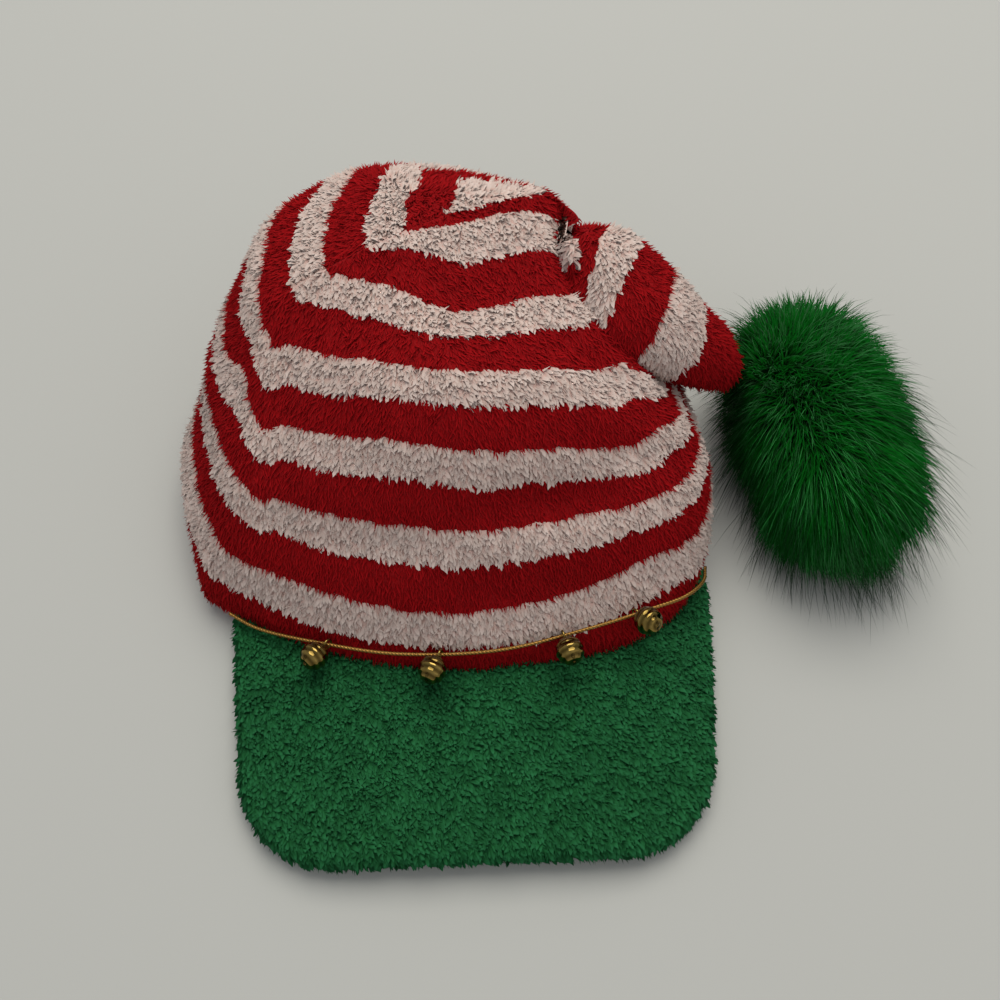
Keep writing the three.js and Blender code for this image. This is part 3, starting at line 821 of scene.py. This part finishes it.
# %% Pile of the crown
DROOP = (0.15, -0.3, -1.0)
white_coat = {"Droop": DROOP, "Clump Size": 0.0050, "White": 1.0, "Softness": 0.95, "Material": white_yarn}
white_pile = grown(crown_fleece, pile, "crown_white_pile", {
    **white_coat, "Locks": tufts, "Spacing": 0.00095, "Length": 0.0029, "Stand": 0.6, "Clumping": 0.7,
    "Stray": 0.45, "Seed": 11})
white_fluff = grown(crown_fleece, pile, "crown_white_fluff", {
    **white_coat, "Locks": fibres, "Spacing": 0.00100, "Length": 0.0032, "Stand": 0.8, "Clumping": 0.6,
    "Stray": 0.7, "Seed": 13})
red_pile = grown(crown_fleece, pile, "crown_red_pile", {
    "Droop": DROOP, "Clump Size": 0.0045, "White": 0.0, "Softness": 0.9, "Material": red_yarn,
    "Locks": fibres, "Spacing": 0.00087, "Length": 0.0029, "Stand": 0.7, "Clumping": 0.7,
    "Stray": 0.45, "Seed": 12})

# %% [markdown]
# ## The peak
# The peak is a stiff shape covered in green pile and lightly padded, so its edge is round and its top
# swells a little. It is lofted from slices across the hat, from the seam at the rim to the front edge.

# %% Peak shape
PEAK = dict(thickness=8, lift=1.2, back_arch=3.6, front_arch=5, front=-151, back_half_width=93,
            front_half_width=86, side_end=-114, corner=36, edge=3.6)
PEAK_TURN = math.radians(-3)  # the soft peak is skewed a little on the rim
SEAM_ALLOWANCE = 2.2  # mm that the peak goes into the crown's cloth
rim_line = crown_grid([0.0], 400)[0]
rim_line = rim_line[rim_line[:, 1] < -20]
rim_line = rim_line[np.argsort(rim_line[:, 0])]


def rim_y(x):
    return np.interp(x, rim_line[:, 0], rim_line[:, 1])


def peak_front(x):
    """y of the front edge: straight, with a round corner and a short side at each end."""
    reach = np.abs(x)
    into_corner = np.clip(reach - PEAK["front_half_width"] + PEAK["corner"], 0, PEAK["corner"])
    drop = PEAK["corner"] - np.sqrt(PEAK["corner"]**2 - into_corner**2)
    corner = PEAK["front"] + drop * (PEAK["side_end"] - PEAK["front"]) / PEAK["corner"]
    side = PEAK["back_half_width"] - PEAK["front_half_width"]
    past = np.clip((reach - PEAK["front_half_width"]) / side, 0, 1)
    return corner + past * (rim_y(x) - 2 * PEAK["edge"] - corner)


def peak_shape(name, stations, steps, edge_steps, inset, materials):
    x = PEAK["back_half_width"] * np.sin(np.linspace(-math.pi / 2, math.pi / 2, stations))[:, None]
    back, front = rim_y(x) + SEAM_ALLOWANCE, peak_front(x) + inset
    edge = np.minimum(PEAK["edge"], 0.45 * (back - front))
    flat = np.linspace(0, 1, steps)[:-1]
    angle = np.linspace(0, math.pi, edge_steps)
    top = PEAK["thickness"] - inset
    run = back - flat * (back - front - edge)
    y = np.hstack([run, front + edge * (1 - np.sin(angle)), run[:, ::-1]])
    height = np.concatenate([np.zeros_like(flat), top * (1 - np.cos(angle)) / 2, np.full_like(flat, top)])
    share = (back - y) / (back - front)
    across = 1 - (x / PEAK["back_half_width"])**2
    arch = PEAK["back_arch"] + share * (PEAK["front_arch"] - PEAK["back_arch"])
    z = PEAK["lift"] + across * arch + height
    pivot = rim_y(0.0)
    skew_x = (y - pivot) * -math.sin(PEAK_TURN) * share
    skew_y = x * math.sin(PEAK_TURN) * share
    rings = np.stack([x + skew_x, y + skew_y, z], -1)
    sides = rings.shape[1]
    points = np.vstack([rings.reshape(-1, 3), rings[0].mean(0), rings[-1].mean(0)])
    thing = mesh_object(name, placed(points), skin_faces(stations, sides), materials)
    slot = np.zeros(len(thing.data.polygons), np.int32)
    slot[:(stations - 1) * sides].reshape(-1, sides)[:, :steps - 1] = 1  # the underside
    thing.data.polygons.foreach_set("material_index", slot)
    return thing


peak_cloth = mottled("green_cloth", (0.008, 0.06, 0.02), (0.016, 0.12, 0.04), 700.0, 0.0006)
under_cloth = mottled("green_underside", (0.008, 0.07, 0.022), (0.016, 0.12, 0.042), 1100.0, 0.0003)
peak_pad = peak_shape(
    "peak_pad", stations=121, steps=22, edge_steps=9, inset=1.3, materials=[peak_cloth, under_cloth])
print("open edges in the peak:", open_edges(peak_pad))

# %% Pile of the peak
PEAK_NAP = (0.35, -1.0, -0.3)
# The darker root colour is painted shade deep in the pile, and the lighter tip colour painted light.
green_yarn = yarn(
    "green_yarn", (0.010, 0.074, 0.022), (0.015, 0.108, 0.033), (0.022, 0.138, 0.050), contrast=0.5)
green_coat = {"Droop": PEAK_NAP, "Clump Size": 0.0056, "White": 0.0, "Material": green_yarn}
peak_pile = grown(peak_pad, pile, "peak_pile", {
    **green_coat, "Locks": tufts, "Spacing": 0.00105, "Length": 0.0029, "Stand": 0.9, "Clumping": 1.2,
    "Stray": 0.55, "Softness": 0.7, "Seed": 21})
peak_fluff = grown(peak_pad, pile, "peak_fluff", {
    **green_coat, "Locks": fibres, "Spacing": 0.00085, "Length": 0.0031, "Stand": 1.0, "Clumping": 1.0,
    "Stray": 0.6, "Softness": 0.6, "Seed": 22})

# %% [markdown]
# ## The cord and its bells
# A thin gilt cord is sewn along the seam above the peak, with four jingle bells threaded on it. It is
# thin metal thread twisted round an elastic core. A circle pushed into three lobes and turned as it
# runs along the route makes the twist, so one Curve to Mesh node is the whole cord.

# %% Route of the cord
CORD_ROUTE = table(
    "side reach row lift",
    (-1, 0.84, 0.93, 1.3),
    (-1, 0.70, 1.05, 2.2),
    (-1, 0.45, 1.58, 2.8),
    (-1, 0.20, 1.76, 2.8),
    (1, 0.05, 1.90, 2.8),
    (1, 0.25, 2.10, 2.8),
    (1, 0.42, 2.15, 2.8),
    (1, 0.56, 2.00, 2.8),
    (1, 0.68, 1.60, 2.0),
    (1, 0.74, 1.30, 1.3),
)


def on_crown(side, reach, row, lift):
    """A point lifted off the crown's front: side picks the left or right quarter, reach the way round it."""
    def at(height_row, around):
        quarter = crown_quarters(np.array([height_row / LAST_ROW]))[0 if side < 0 else 3]
        return bezier(quarter, [around if side < 0 else 1 - around])[0, 0]

    along = (at(row, reach + 0.01) - at(row, reach - 0.01)) * -side
    outward = np.cross(at(row + 0.1, reach) - at(row - 0.1, reach), along)
    return at(row, reach) + outward / np.linalg.norm(outward) * lift


cord_line = smooth([on_crown(**row) for row in CORD_ROUTE], np.linspace(0, 1, 361), centripetal=True)
cord_steps = np.append(0, np.cumsum(np.linalg.norm(np.diff(cord_line, axis=0), axis=1)))
print(f"cord: {cord_steps[-1]:.0f} mm")


# %% Twisted cord
def twisted_cord_tree():
    tree, given, result = new_tree("twisted_cord", {
        "Radius": "Float", "Lobe": "Float", "Turn Length": "Float", "Step": "Float", "Material": "Material"})
    curve = add(tree, "GeometryNodeMeshToCurve", {0: given["Geometry"]})
    path = add(tree, "GeometryNodeResampleCurve", {
        "Curve": curve.outputs[0], "Length": given["Step"]}, mode="LENGTH")
    run = add(tree, "GeometryNodeSplineParameter").outputs["Length"]
    turn = maths(tree, "MULTIPLY", maths(tree, "DIVIDE", run, given["Turn Length"]), 2 * math.pi)
    twisted = add(tree, "GeometryNodeSetCurveTilt", {"Curve": path.outputs[0], "Tilt": turn})
    circle = add(tree, "GeometryNodeCurvePrimitiveCircle", {"Resolution": 15, "Radius": given["Radius"]})
    around = add(tree, "GeometryNodeSplineParameter").outputs["Factor"]
    wave = maths(tree, "COSINE", maths(tree, "MULTIPLY", around, 6 * math.pi))
    swell = maths(tree, "ADD", maths(tree, "MULTIPLY", wave, given["Lobe"]), 1.0)
    moved = scaled(tree, position(tree), swell)
    profile = add(tree, "GeometryNodeSetPosition", {"Geometry": circle.outputs[0], "Position": moved})
    tube = add(tree, "GeometryNodeCurveToMesh", {
        "Curve": twisted.outputs[0], "Profile Curve": profile.outputs[0], "Fill Caps": True})
    smooth_tube = add(tree, "GeometryNodeSetShadeSmooth", {"Geometry": tube.outputs[0]})
    finished(tree, given, result, smooth_tube.outputs[0])
    return tree


gilt = mottled("gilt_thread", (0.15, 0.06, 0.010), (0.52, 0.29, 0.07), 2600.0, 0.0001,
               colour=(0.5, 0.3, 0.06), roughness=0.36, metallic=0.85, shine=0.5)
cord_edges = [(i, i + 1) for i in range(len(cord_line) - 1)]
cord_path = mesh_object("cord_path", placed(cord_line), [], edges=cord_edges)
gilt_cord = grown(cord_path, twisted_cord_tree(), "gilt_cord", {
    "Radius": 0.00066, "Lobe": 0.16, "Turn Length": 0.0042, "Step": 0.0005, "Material": gilt})
discard(cord_path)

# %% [markdown]
# Each bell is pressed from thin brass: a hollow ball with ridges round it, a slot at the bottom that
# lets the sound out, and a wire loop on top that the cord runs through. A lathe profile makes the ball,
# and a Boolean cuts the slot. A UV map of the ball's latitude tells the finish where its grooves are, so
# that it can paint them darker.

# %% Bell shape
BELL = dict(radius=5.2, wall=0.6, ridges=6, ridge_depth=0.14)
SLOT = dict(width=1.0, reach=0.62, low=-1.3, high=-0.35)  # mm wide, then shares of the ball's radius
SLOT_END, SLOT_WAIST = 1.6, 1.2  # half-widths of its round ends, and where they meet the straight part
LOOP = dict(radius=1.9, wire=0.4, sink=0.35)
LOOP_HEIGHT = BELL["radius"] + LOOP["radius"] - LOOP["sink"]
BELLS = table(
    "share hang",
    (0.217, (-0.68, -0.70, 0.20)),
    (0.424, (-0.46, -0.88, 0.10)),
    (0.648, (0.21, -0.97, 0.13)),
    (0.785, (0.50, -0.68, 0.53)),
)


def ball(radius, depth, rows, sides, material):
    """A closed ball about Y with ridges, in metres."""
    angle = np.linspace(0, math.pi, rows + 2)[1:-1]
    rings = globe(angle, radius + depth * np.cos(2 * BELL["ridges"] * angle), sides)[..., [0, 2, 1]]
    points = np.vstack([rings.reshape(-1, 3), [0, -radius - depth, 0], [0, radius + depth, 0]])
    thing = mesh_object("ball", points * MM, skin_faces(rows, sides), [material])
    latitude = np.append(np.repeat(angle, sides), [0, math.pi])[corner_points(thing.data)] / math.pi
    add_map(thing.data, "latitude", np.zeros_like(latitude), latitude)
    return thing


def wire_loop(material, steps=28, sides=10):
    turn = np.arange(steps)[:, None] * 2 * math.pi / steps
    around = np.arange(sides) * 2 * math.pi / sides
    reach = LOOP["radius"] + LOOP["wire"] * np.cos(around)
    points = np.stack(np.broadcast_arrays(
        reach * np.cos(turn), reach * np.sin(turn) + LOOP_HEIGHT, LOOP["wire"] * np.sin(around)), -1)
    i, j = np.divmod(np.arange(steps * sides), sides)
    after, beside = (i + 1) % steps * sides, (j + 1) % sides
    faces = np.stack([i * sides + j, after + j, after + beside, i * sides + beside], 1)
    return mesh_object("loop", points.reshape(-1, 3) * MM, faces, [material])


def slot_cutter(material):
    """A slim box with round ends, through the ball's bottom."""
    half, reach = SLOT["width"] / 2, SLOT["reach"] * BELL["radius"]
    turn = np.linspace(-math.pi / 2, math.pi / 2, 9)
    right = np.stack([reach + SLOT_END * half * np.cos(turn), SLOT_END * half * np.sin(turn)], 1)
    waist = np.array([[reach - SLOT_WAIST * half, half], [-reach + SLOT_WAIST * half, half]])
    outline = np.vstack([right, waist, -right, -waist])
    levels = np.array([SLOT["low"] * BELL["radius"], SLOT["high"] * BELL["radius"]])
    rings = [np.stack([outline[:, 0], np.full(len(outline), level), -outline[:, 1]], 1) for level in levels]
    points = np.vstack([*rings, rings[0].mean(0), rings[1].mean(0)])
    return mesh_object("slot", points * MM, skin_faces(2, len(outline)), [material])


brass, tree, shader = finish_of("worn_brass", (0.45, 0.31, 0.09), 0.28, metallic=1.0, shine=0.5)
tarnish = noise_at(tree, object_place(tree), 420.0, 4.0)
latitude = axis_of(tree, add(tree, "ShaderNodeUVMap", uv_map="latitude").outputs[0], "Y")
wave = maths(tree, "COSINE", maths(tree, "MULTIPLY", latitude, 2 * BELL["ridges"] * math.pi))
groove = maths(tree, "SUBTRACT", 0.5, maths(tree, "MULTIPLY", wave, 0.5))
metal = mixed(tree, tarnish, (0.12, 0.075, 0.015, 1), (0.46, 0.32, 0.09, 1))
# The grooves are painted darker.
dark_grooved_metal = mixed(tree, maths(tree, "MULTIPLY", groove, 0.7), metal, (0.025, 0.014, 0.003, 1))
tree.links.new(dark_grooved_metal, shader.inputs["Base Color"])
dull = maths(tree, "ADD", maths(tree, "MULTIPLY", tarnish, 0.16), 0.05)
tree.links.new(dull, shader.inputs["Roughness"])

shell = ball(BELL["radius"], BELL["ridge_depth"], rows=65, sides=40, material=brass)
hollow = ball(BELL["radius"] - BELL["wall"], 0, rows=23, sides=28, material=brass)
bell_parts = [wire_loop(brass), hollow, slot_cutter(brass)]
for operation, part in zip(("UNION", "DIFFERENCE", "DIFFERENCE"), bell_parts):
    cut(shell, operation, part)
bell_pattern = plain_copy(shell, "bell_pattern")
discard(shell, *bell_parts)
print("open edges in a bell:", open_edges(bell_pattern))


# %% Hang the bells on the cord
def along_cord(share):
    """The point at a share of the cord's length and the direction of the cord there."""
    def at(length):
        return np.array([np.interp(length, cord_steps, column) for column in cord_line.T])

    run = share * cord_steps[-1]
    return Vector(at(run)), Vector(at(run + 0.5) - at(run - 0.5))


bells = []
for number, row in enumerate(BELLS, start=1):
    point, along = along_cord(row["share"])
    up = -Vector(row["hang"]).normalized()
    hole = (along - up * along.dot(up)).normalized()
    middle = Vector(placed(point - up * LOOP_HEIGHT))
    turn = Matrix((up.cross(hole), up, hole)).transposed().to_4x4()
    bell = bpy.data.objects.new(f"jingle_bell_{number}", bell_pattern.data.copy())
    bell.data.transform(Matrix.Translation(middle) @ turn)
    scene.collection.objects.link(bell)
    bells.append(bell)
discard(bell_pattern)
print("bells:", len(bells))

# %% [markdown]
# ## The pompom
# The pompom is a ball of long fur sewn to the tip of the tail. Its hairs leave a small heart in all
# directions, fall over under their own weight and lie on the floor. Straight locks are planted on the
# heart and then bent by a Set Position node, which is lighter than simulating hair and always gives
# the same result. A dense soft coat comes first, then a sleek one whose light tips are painted
# highlights, then long thin guard hairs with dark tips. All of them part at a whorl beside the tail,
# where the locks are painted darker, as painted shade where one looks down into the fur.

# %% Heart of the pompom
POM = dict(middle=(149.0, 3.0, 31.0), size=(30.0, 57.0, 26.0), squareness=3.0, turn=math.radians(3),
           heart=np.array([0.74, 0.84, 0.84]))
LUMPS, LUMP_HEIGHT = dict(size=0.6, shift=5.0), 0.08  # as shares of the heart's own size
DRAWN_IN = dict(reach=24, pull=0.8, past_tip=np.array([4, -2, -2]))  # mm, round the tip of the tail
fur_cloth = mottled("fur_base", (0.0015, 0.04, 0.003), (0.004, 0.075, 0.007), 500.0, 0.001)


def on_pom(direction, share):
    """A point in the fur at a share of the way out from the pompom's middle."""
    spread = (np.abs(direction)**POM["squareness"]).sum(-1, keepdims=True)**(1 / POM["squareness"])
    x, y, z = np.moveaxis(direction / spread * POM["size"] * share, -1, 0)
    cos, sin = math.cos(POM["turn"]), math.sin(POM["turn"])
    return np.stack([x * cos - y * sin, x * sin + y * cos, z], -1) + POM["middle"]


def heart(rows, sides):
    """The ball that the fur grows on, drawn towards the tip of the tail where it is sewn on."""
    unit = globe(np.linspace(0, math.pi, rows + 2)[1:-1], 1.0, sides)
    rings = on_pom(unit, POM["heart"] * (1 + LUMP_HEIGHT * ripple(unit, **LUMPS))[..., None])
    near = np.exp(-(np.linalg.norm(rings - TAIL_TIP, axis=-1) / DRAWN_IN["reach"])**2)[..., None]
    rings += (TAIL_TIP + DRAWN_IN["past_tip"] - rings) * near * DRAWN_IN["pull"]
    ends = on_pom(np.array([[0, 0, -1.0], [0, 0, 1.0]]), POM["heart"])
    points = np.vstack([rings.reshape(-1, 3), ends])
    return mesh_object("pom_heart", placed(points), skin_faces(rows, sides), [fur_cloth])


pom_heart = heart(rows=40, sides=56)
print("open edges in the heart:", open_edges(pom_heart))

# %% Tree that grows fur
WHORL = placed([133.0, 33.0, 54.0])
WHORL_REACH = (0.010, 0.055)  # m from the whorl: where its hairs start to lie down, and where all do
TRIMMED_REACH = (0.008, 0.030)  # m from the seam: where the fur starts to lengthen, and where it is full
SEWN_AT = placed(TAIL_TIP)
FLOOR_CLEARANCE, FLOOR_EASE = 0.0009, 0.004  # m above the floor, and the height over which hairs flatten


def length_of(tree, vector):
    return add(tree, "ShaderNodeVectorMath", {0: vector}, operation="LENGTH").outputs["Value"]


def eased(tree, value, low, high):
    """0 up to low, 1 from high on, and a soft change between them."""
    node = add(tree, "ShaderNodeMapRange", {0: value, 1: low, 2: high}, interpolation_type="SMOOTHSTEP")
    return node.outputs[0]


def fur_tree():
    tree, given, result = new_tree("fur", {
        "Lock": "Object", "Spacing": "Float", "Length": "Float", "Width": "Float", "Stand": "Float",
        "Sweep": "Float", "Unruly": "Float", "Fall": "Vector", "Clump Size": "Float", "Clumping": "Float",
        "Whorl": "Vector", "Sewn At": "Vector", "Softness": "Float", "Seed": "Int", "Material": "Material"})
    place = position(tree)
    roots, normal = roots_on(tree, given, place)
    middle, shade = clump_cell(tree, given, place)
    from_whorl = vectors(tree, "SUBTRACT", place, given["Whorl"])
    far = eased(tree, length_of(tree, from_whorl), *WHORL_REACH)
    away = vectors(tree, "NORMALIZE", level_part(tree, from_whorl, normal))
    stand = maths(tree, "MULTIPLY", given["Stand"], maths(tree, "MULTIPLY_ADD", far, -0.4, 1.2))
    sweep = maths(tree, "MULTIPLY", given["Sweep"], maths(tree, "MULTIPLY_ADD", far, 0.8, 0.2))
    stray = add(tree, "FunctionNodeRandomValue", {0: (-0.3, -0.3, -0.3), 1: (0.3, 0.3, 0.3), "Seed": 7},
                data_type="FLOAT_VECTOR").outputs[0]
    lumps = noise_at(tree, place, 55.0, 2.0, "Color")
    unruly = scaled(tree, vectors(tree, "SUBTRACT", lumps, (0.5, 0.5, 0.5)), given["Unruly"])
    flow = scaled(tree, normal, stand)
    for part in (scaled(tree, away, sweep), stray, unruly):
        flow = vectors(tree, "ADD", flow, part)
    flow = vectors(tree, "NORMALIZE", flow)
    from_seam = length_of(tree, vectors(tree, "SUBTRACT", place, given["Sewn At"]))
    trimmed = maths(tree, "MULTIPLY_ADD", eased(tree, from_seam, *TRIMMED_REACH), 0.7, 0.3)
    full = maths(tree, "MULTIPLY", given["Length"], trimmed)
    size = maths(tree, "MULTIPLY", full, random_number(tree, 0.7, 1.2, 4))
    tint = maths(tree, "ADD", maths(tree, "MULTIPLY", shade, 0.5), random_number(tree, 0.0, 0.5, 5))
    gather = scaled(tree, vectors(tree, "SUBTRACT", middle, place), given["Clumping"])
    # Near the whorl each lock's tint is lowered, which paints shade where one looks down into the fur.
    facts = {
        "tint": ("FLOAT", maths(tree, "MULTIPLY", tint, maths(tree, "MULTIPLY_ADD", far, 0.75, 0.25))),
        "long": ("FLOAT", size),
        "gather": ("FLOAT_VECTOR", gather),
        "ground": ("FLOAT_VECTOR", normal),
    }
    for name, (kind, value) in facts.items():
        roots = stored(tree, roots, name, value, kind)
    rotation = add(tree, "FunctionNodeAlignRotationToVector", {"Vector": flow}, axis="Z").outputs[0]
    lock = add(tree, "GeometryNodeObjectInfo", {0: given["Lock"]}).outputs["Geometry"]
    planted = add(tree, "GeometryNodeInstanceOnPoints", {
        "Points": roots, "Instance": lock, "Rotation": rotation,
        "Scale": vector_of(tree, given["Width"], given["Width"], size)})
    loose = add(tree, "GeometryNodeRealizeInstances", {0: planted.outputs[0]}).outputs[0]

    along, long, gather = named(tree, "along"), named(tree, "long"), named(tree, "gather", "FLOAT_VECTOR")
    bend = maths(tree, "MULTIPLY", maths(tree, "MULTIPLY", along, along), long)
    offset = vectors(tree, "ADD", scaled(tree, given["Fall"], bend), scaled(tree, gather, along))
    bent = add(tree, "GeometryNodeSetPosition", {"Geometry": loose, "Offset": offset}).outputs[0]
    x, y, z = add(tree, "ShaderNodeSeparateXYZ", {0: position(tree)}).outputs
    on_floor = vector_of(tree, x, y, maths(tree, "SMOOTH_MAX", z, FLOOR_CLEARANCE, FLOOR_EASE))
    laid = add(tree, "GeometryNodeSetPosition", {"Geometry": bent, "Position": on_floor}).outputs[0]
    finished(tree, given, result, softened(tree, laid, given["Softness"]))
    return tree


fur = fur_tree()
print("fur tree:", len(fur.nodes), "nodes")

# %% Coats and guard hairs
# Each coat's darker root colour is painted shade deep in the fur. The soft coat's lighter tips are painted
# light and the sleek coat's light tips painted highlights; the guard hairs' dark tips are their own colour.
soft_fur = yarn(
    "soft_fur", (0.0016, 0.050, 0.0034), (0.0026, 0.086, 0.0062), (0.0042, 0.124, 0.0112), 0.9, 0.02)
sleek_fur = yarn(
    "sleek_fur", (0.001, 0.03, 0.002), (0.006, 0.12, 0.013), (0.032, 0.26, 0.055), 0.5, 0.15, 1.1)
guard_fur = yarn("guard_fur", (0.002, 0.03, 0.004), (0.005, 0.07, 0.010), (0.002, 0.010, 0.003), 0.5, 0.1)
furs = lock_set("fur_locks", table(
    "rings width bend taper", (2, 1.0, 0.0, 0.7), (3, 1.0, 0.0, 0.8), (4, 1.0, 0.0, 0.8)))
soft_lock, sleek_lock, guard_lock = furs.objects
flow = {"Whorl": WHORL, "Sewn At": SEWN_AT}
pom_coat = grown(pom_heart, fur, "pom_soft_coat", {
    **flow, "Lock": soft_lock, "Spacing": 0.00077, "Length": 0.016, "Width": 0.00040, "Stand": 0.75,
    "Sweep": 0.7, "Unruly": 1.1, "Fall": (0.05, -0.06, -0.2), "Clump Size": 0.006, "Clumping": 0.6,
    "Softness": 0.7, "Seed": 31, "Material": soft_fur})
pom_sleek = grown(pom_heart, fur, "pom_sleek_coat", {
    **flow, "Lock": sleek_lock, "Spacing": 0.00112, "Length": 0.020, "Width": 0.00026, "Stand": 0.55,
    "Sweep": 0.9, "Unruly": 0.9, "Fall": (0.05, -0.08, -0.25), "Clump Size": 0.008, "Clumping": 0.7,
    "Softness": 0.4, "Seed": 33, "Material": sleek_fur})
pom_guard = grown(pom_heart, fur, "pom_guard_hairs", {
    **flow, "Lock": guard_lock, "Spacing": 0.0019, "Length": 0.028, "Width": 0.00013, "Stand": 0.8,
    "Sweep": 0.7, "Unruly": 1.2, "Fall": (0.06, -0.15, -0.45), "Clump Size": 0.012, "Clumping": 0.7,
    "Softness": 0.2, "Seed": 32, "Material": guard_fur})

# %% [markdown]
# ## The pieces
# Every piece rides on the hat's one body, and the imported part that a piece stands for is hidden. The
# number of triangles in the whole hat is printed.

for helper in (*tufts.objects, *fibres.objects, *furs.objects):
    discard(helper)
stands_for = {"crown": crown_fleece, "peak": peak_pad, "bell_cord": gilt_cord, "pom_pom": pom_heart}
stands_for |= {f"bell_{number}": bell for number, bell in enumerate(bells, start=1)}
slots = {
    "striped_fleece": [crown_fleece, white_pile, white_fluff, red_pile],
    "green_pile": [peak_pad, peak_pile, peak_fluff],
    "green_fur": [pom_heart, pom_coat, pom_sleek, pom_guard],
    "gilt_cord": [gilt_cord],
    "brass_bells": bells,
}
for slot, members in slots.items():
    for piece in members:
        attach(piece, "root")
for node, piece in stands_for.items():
    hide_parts(node)
total = sum(triangles(piece) for members in slots.values() for piece in members)
print(f"the whole hat: {total:,} triangles")

# %% Last update of the view layer
bpy.context.view_layer.update()
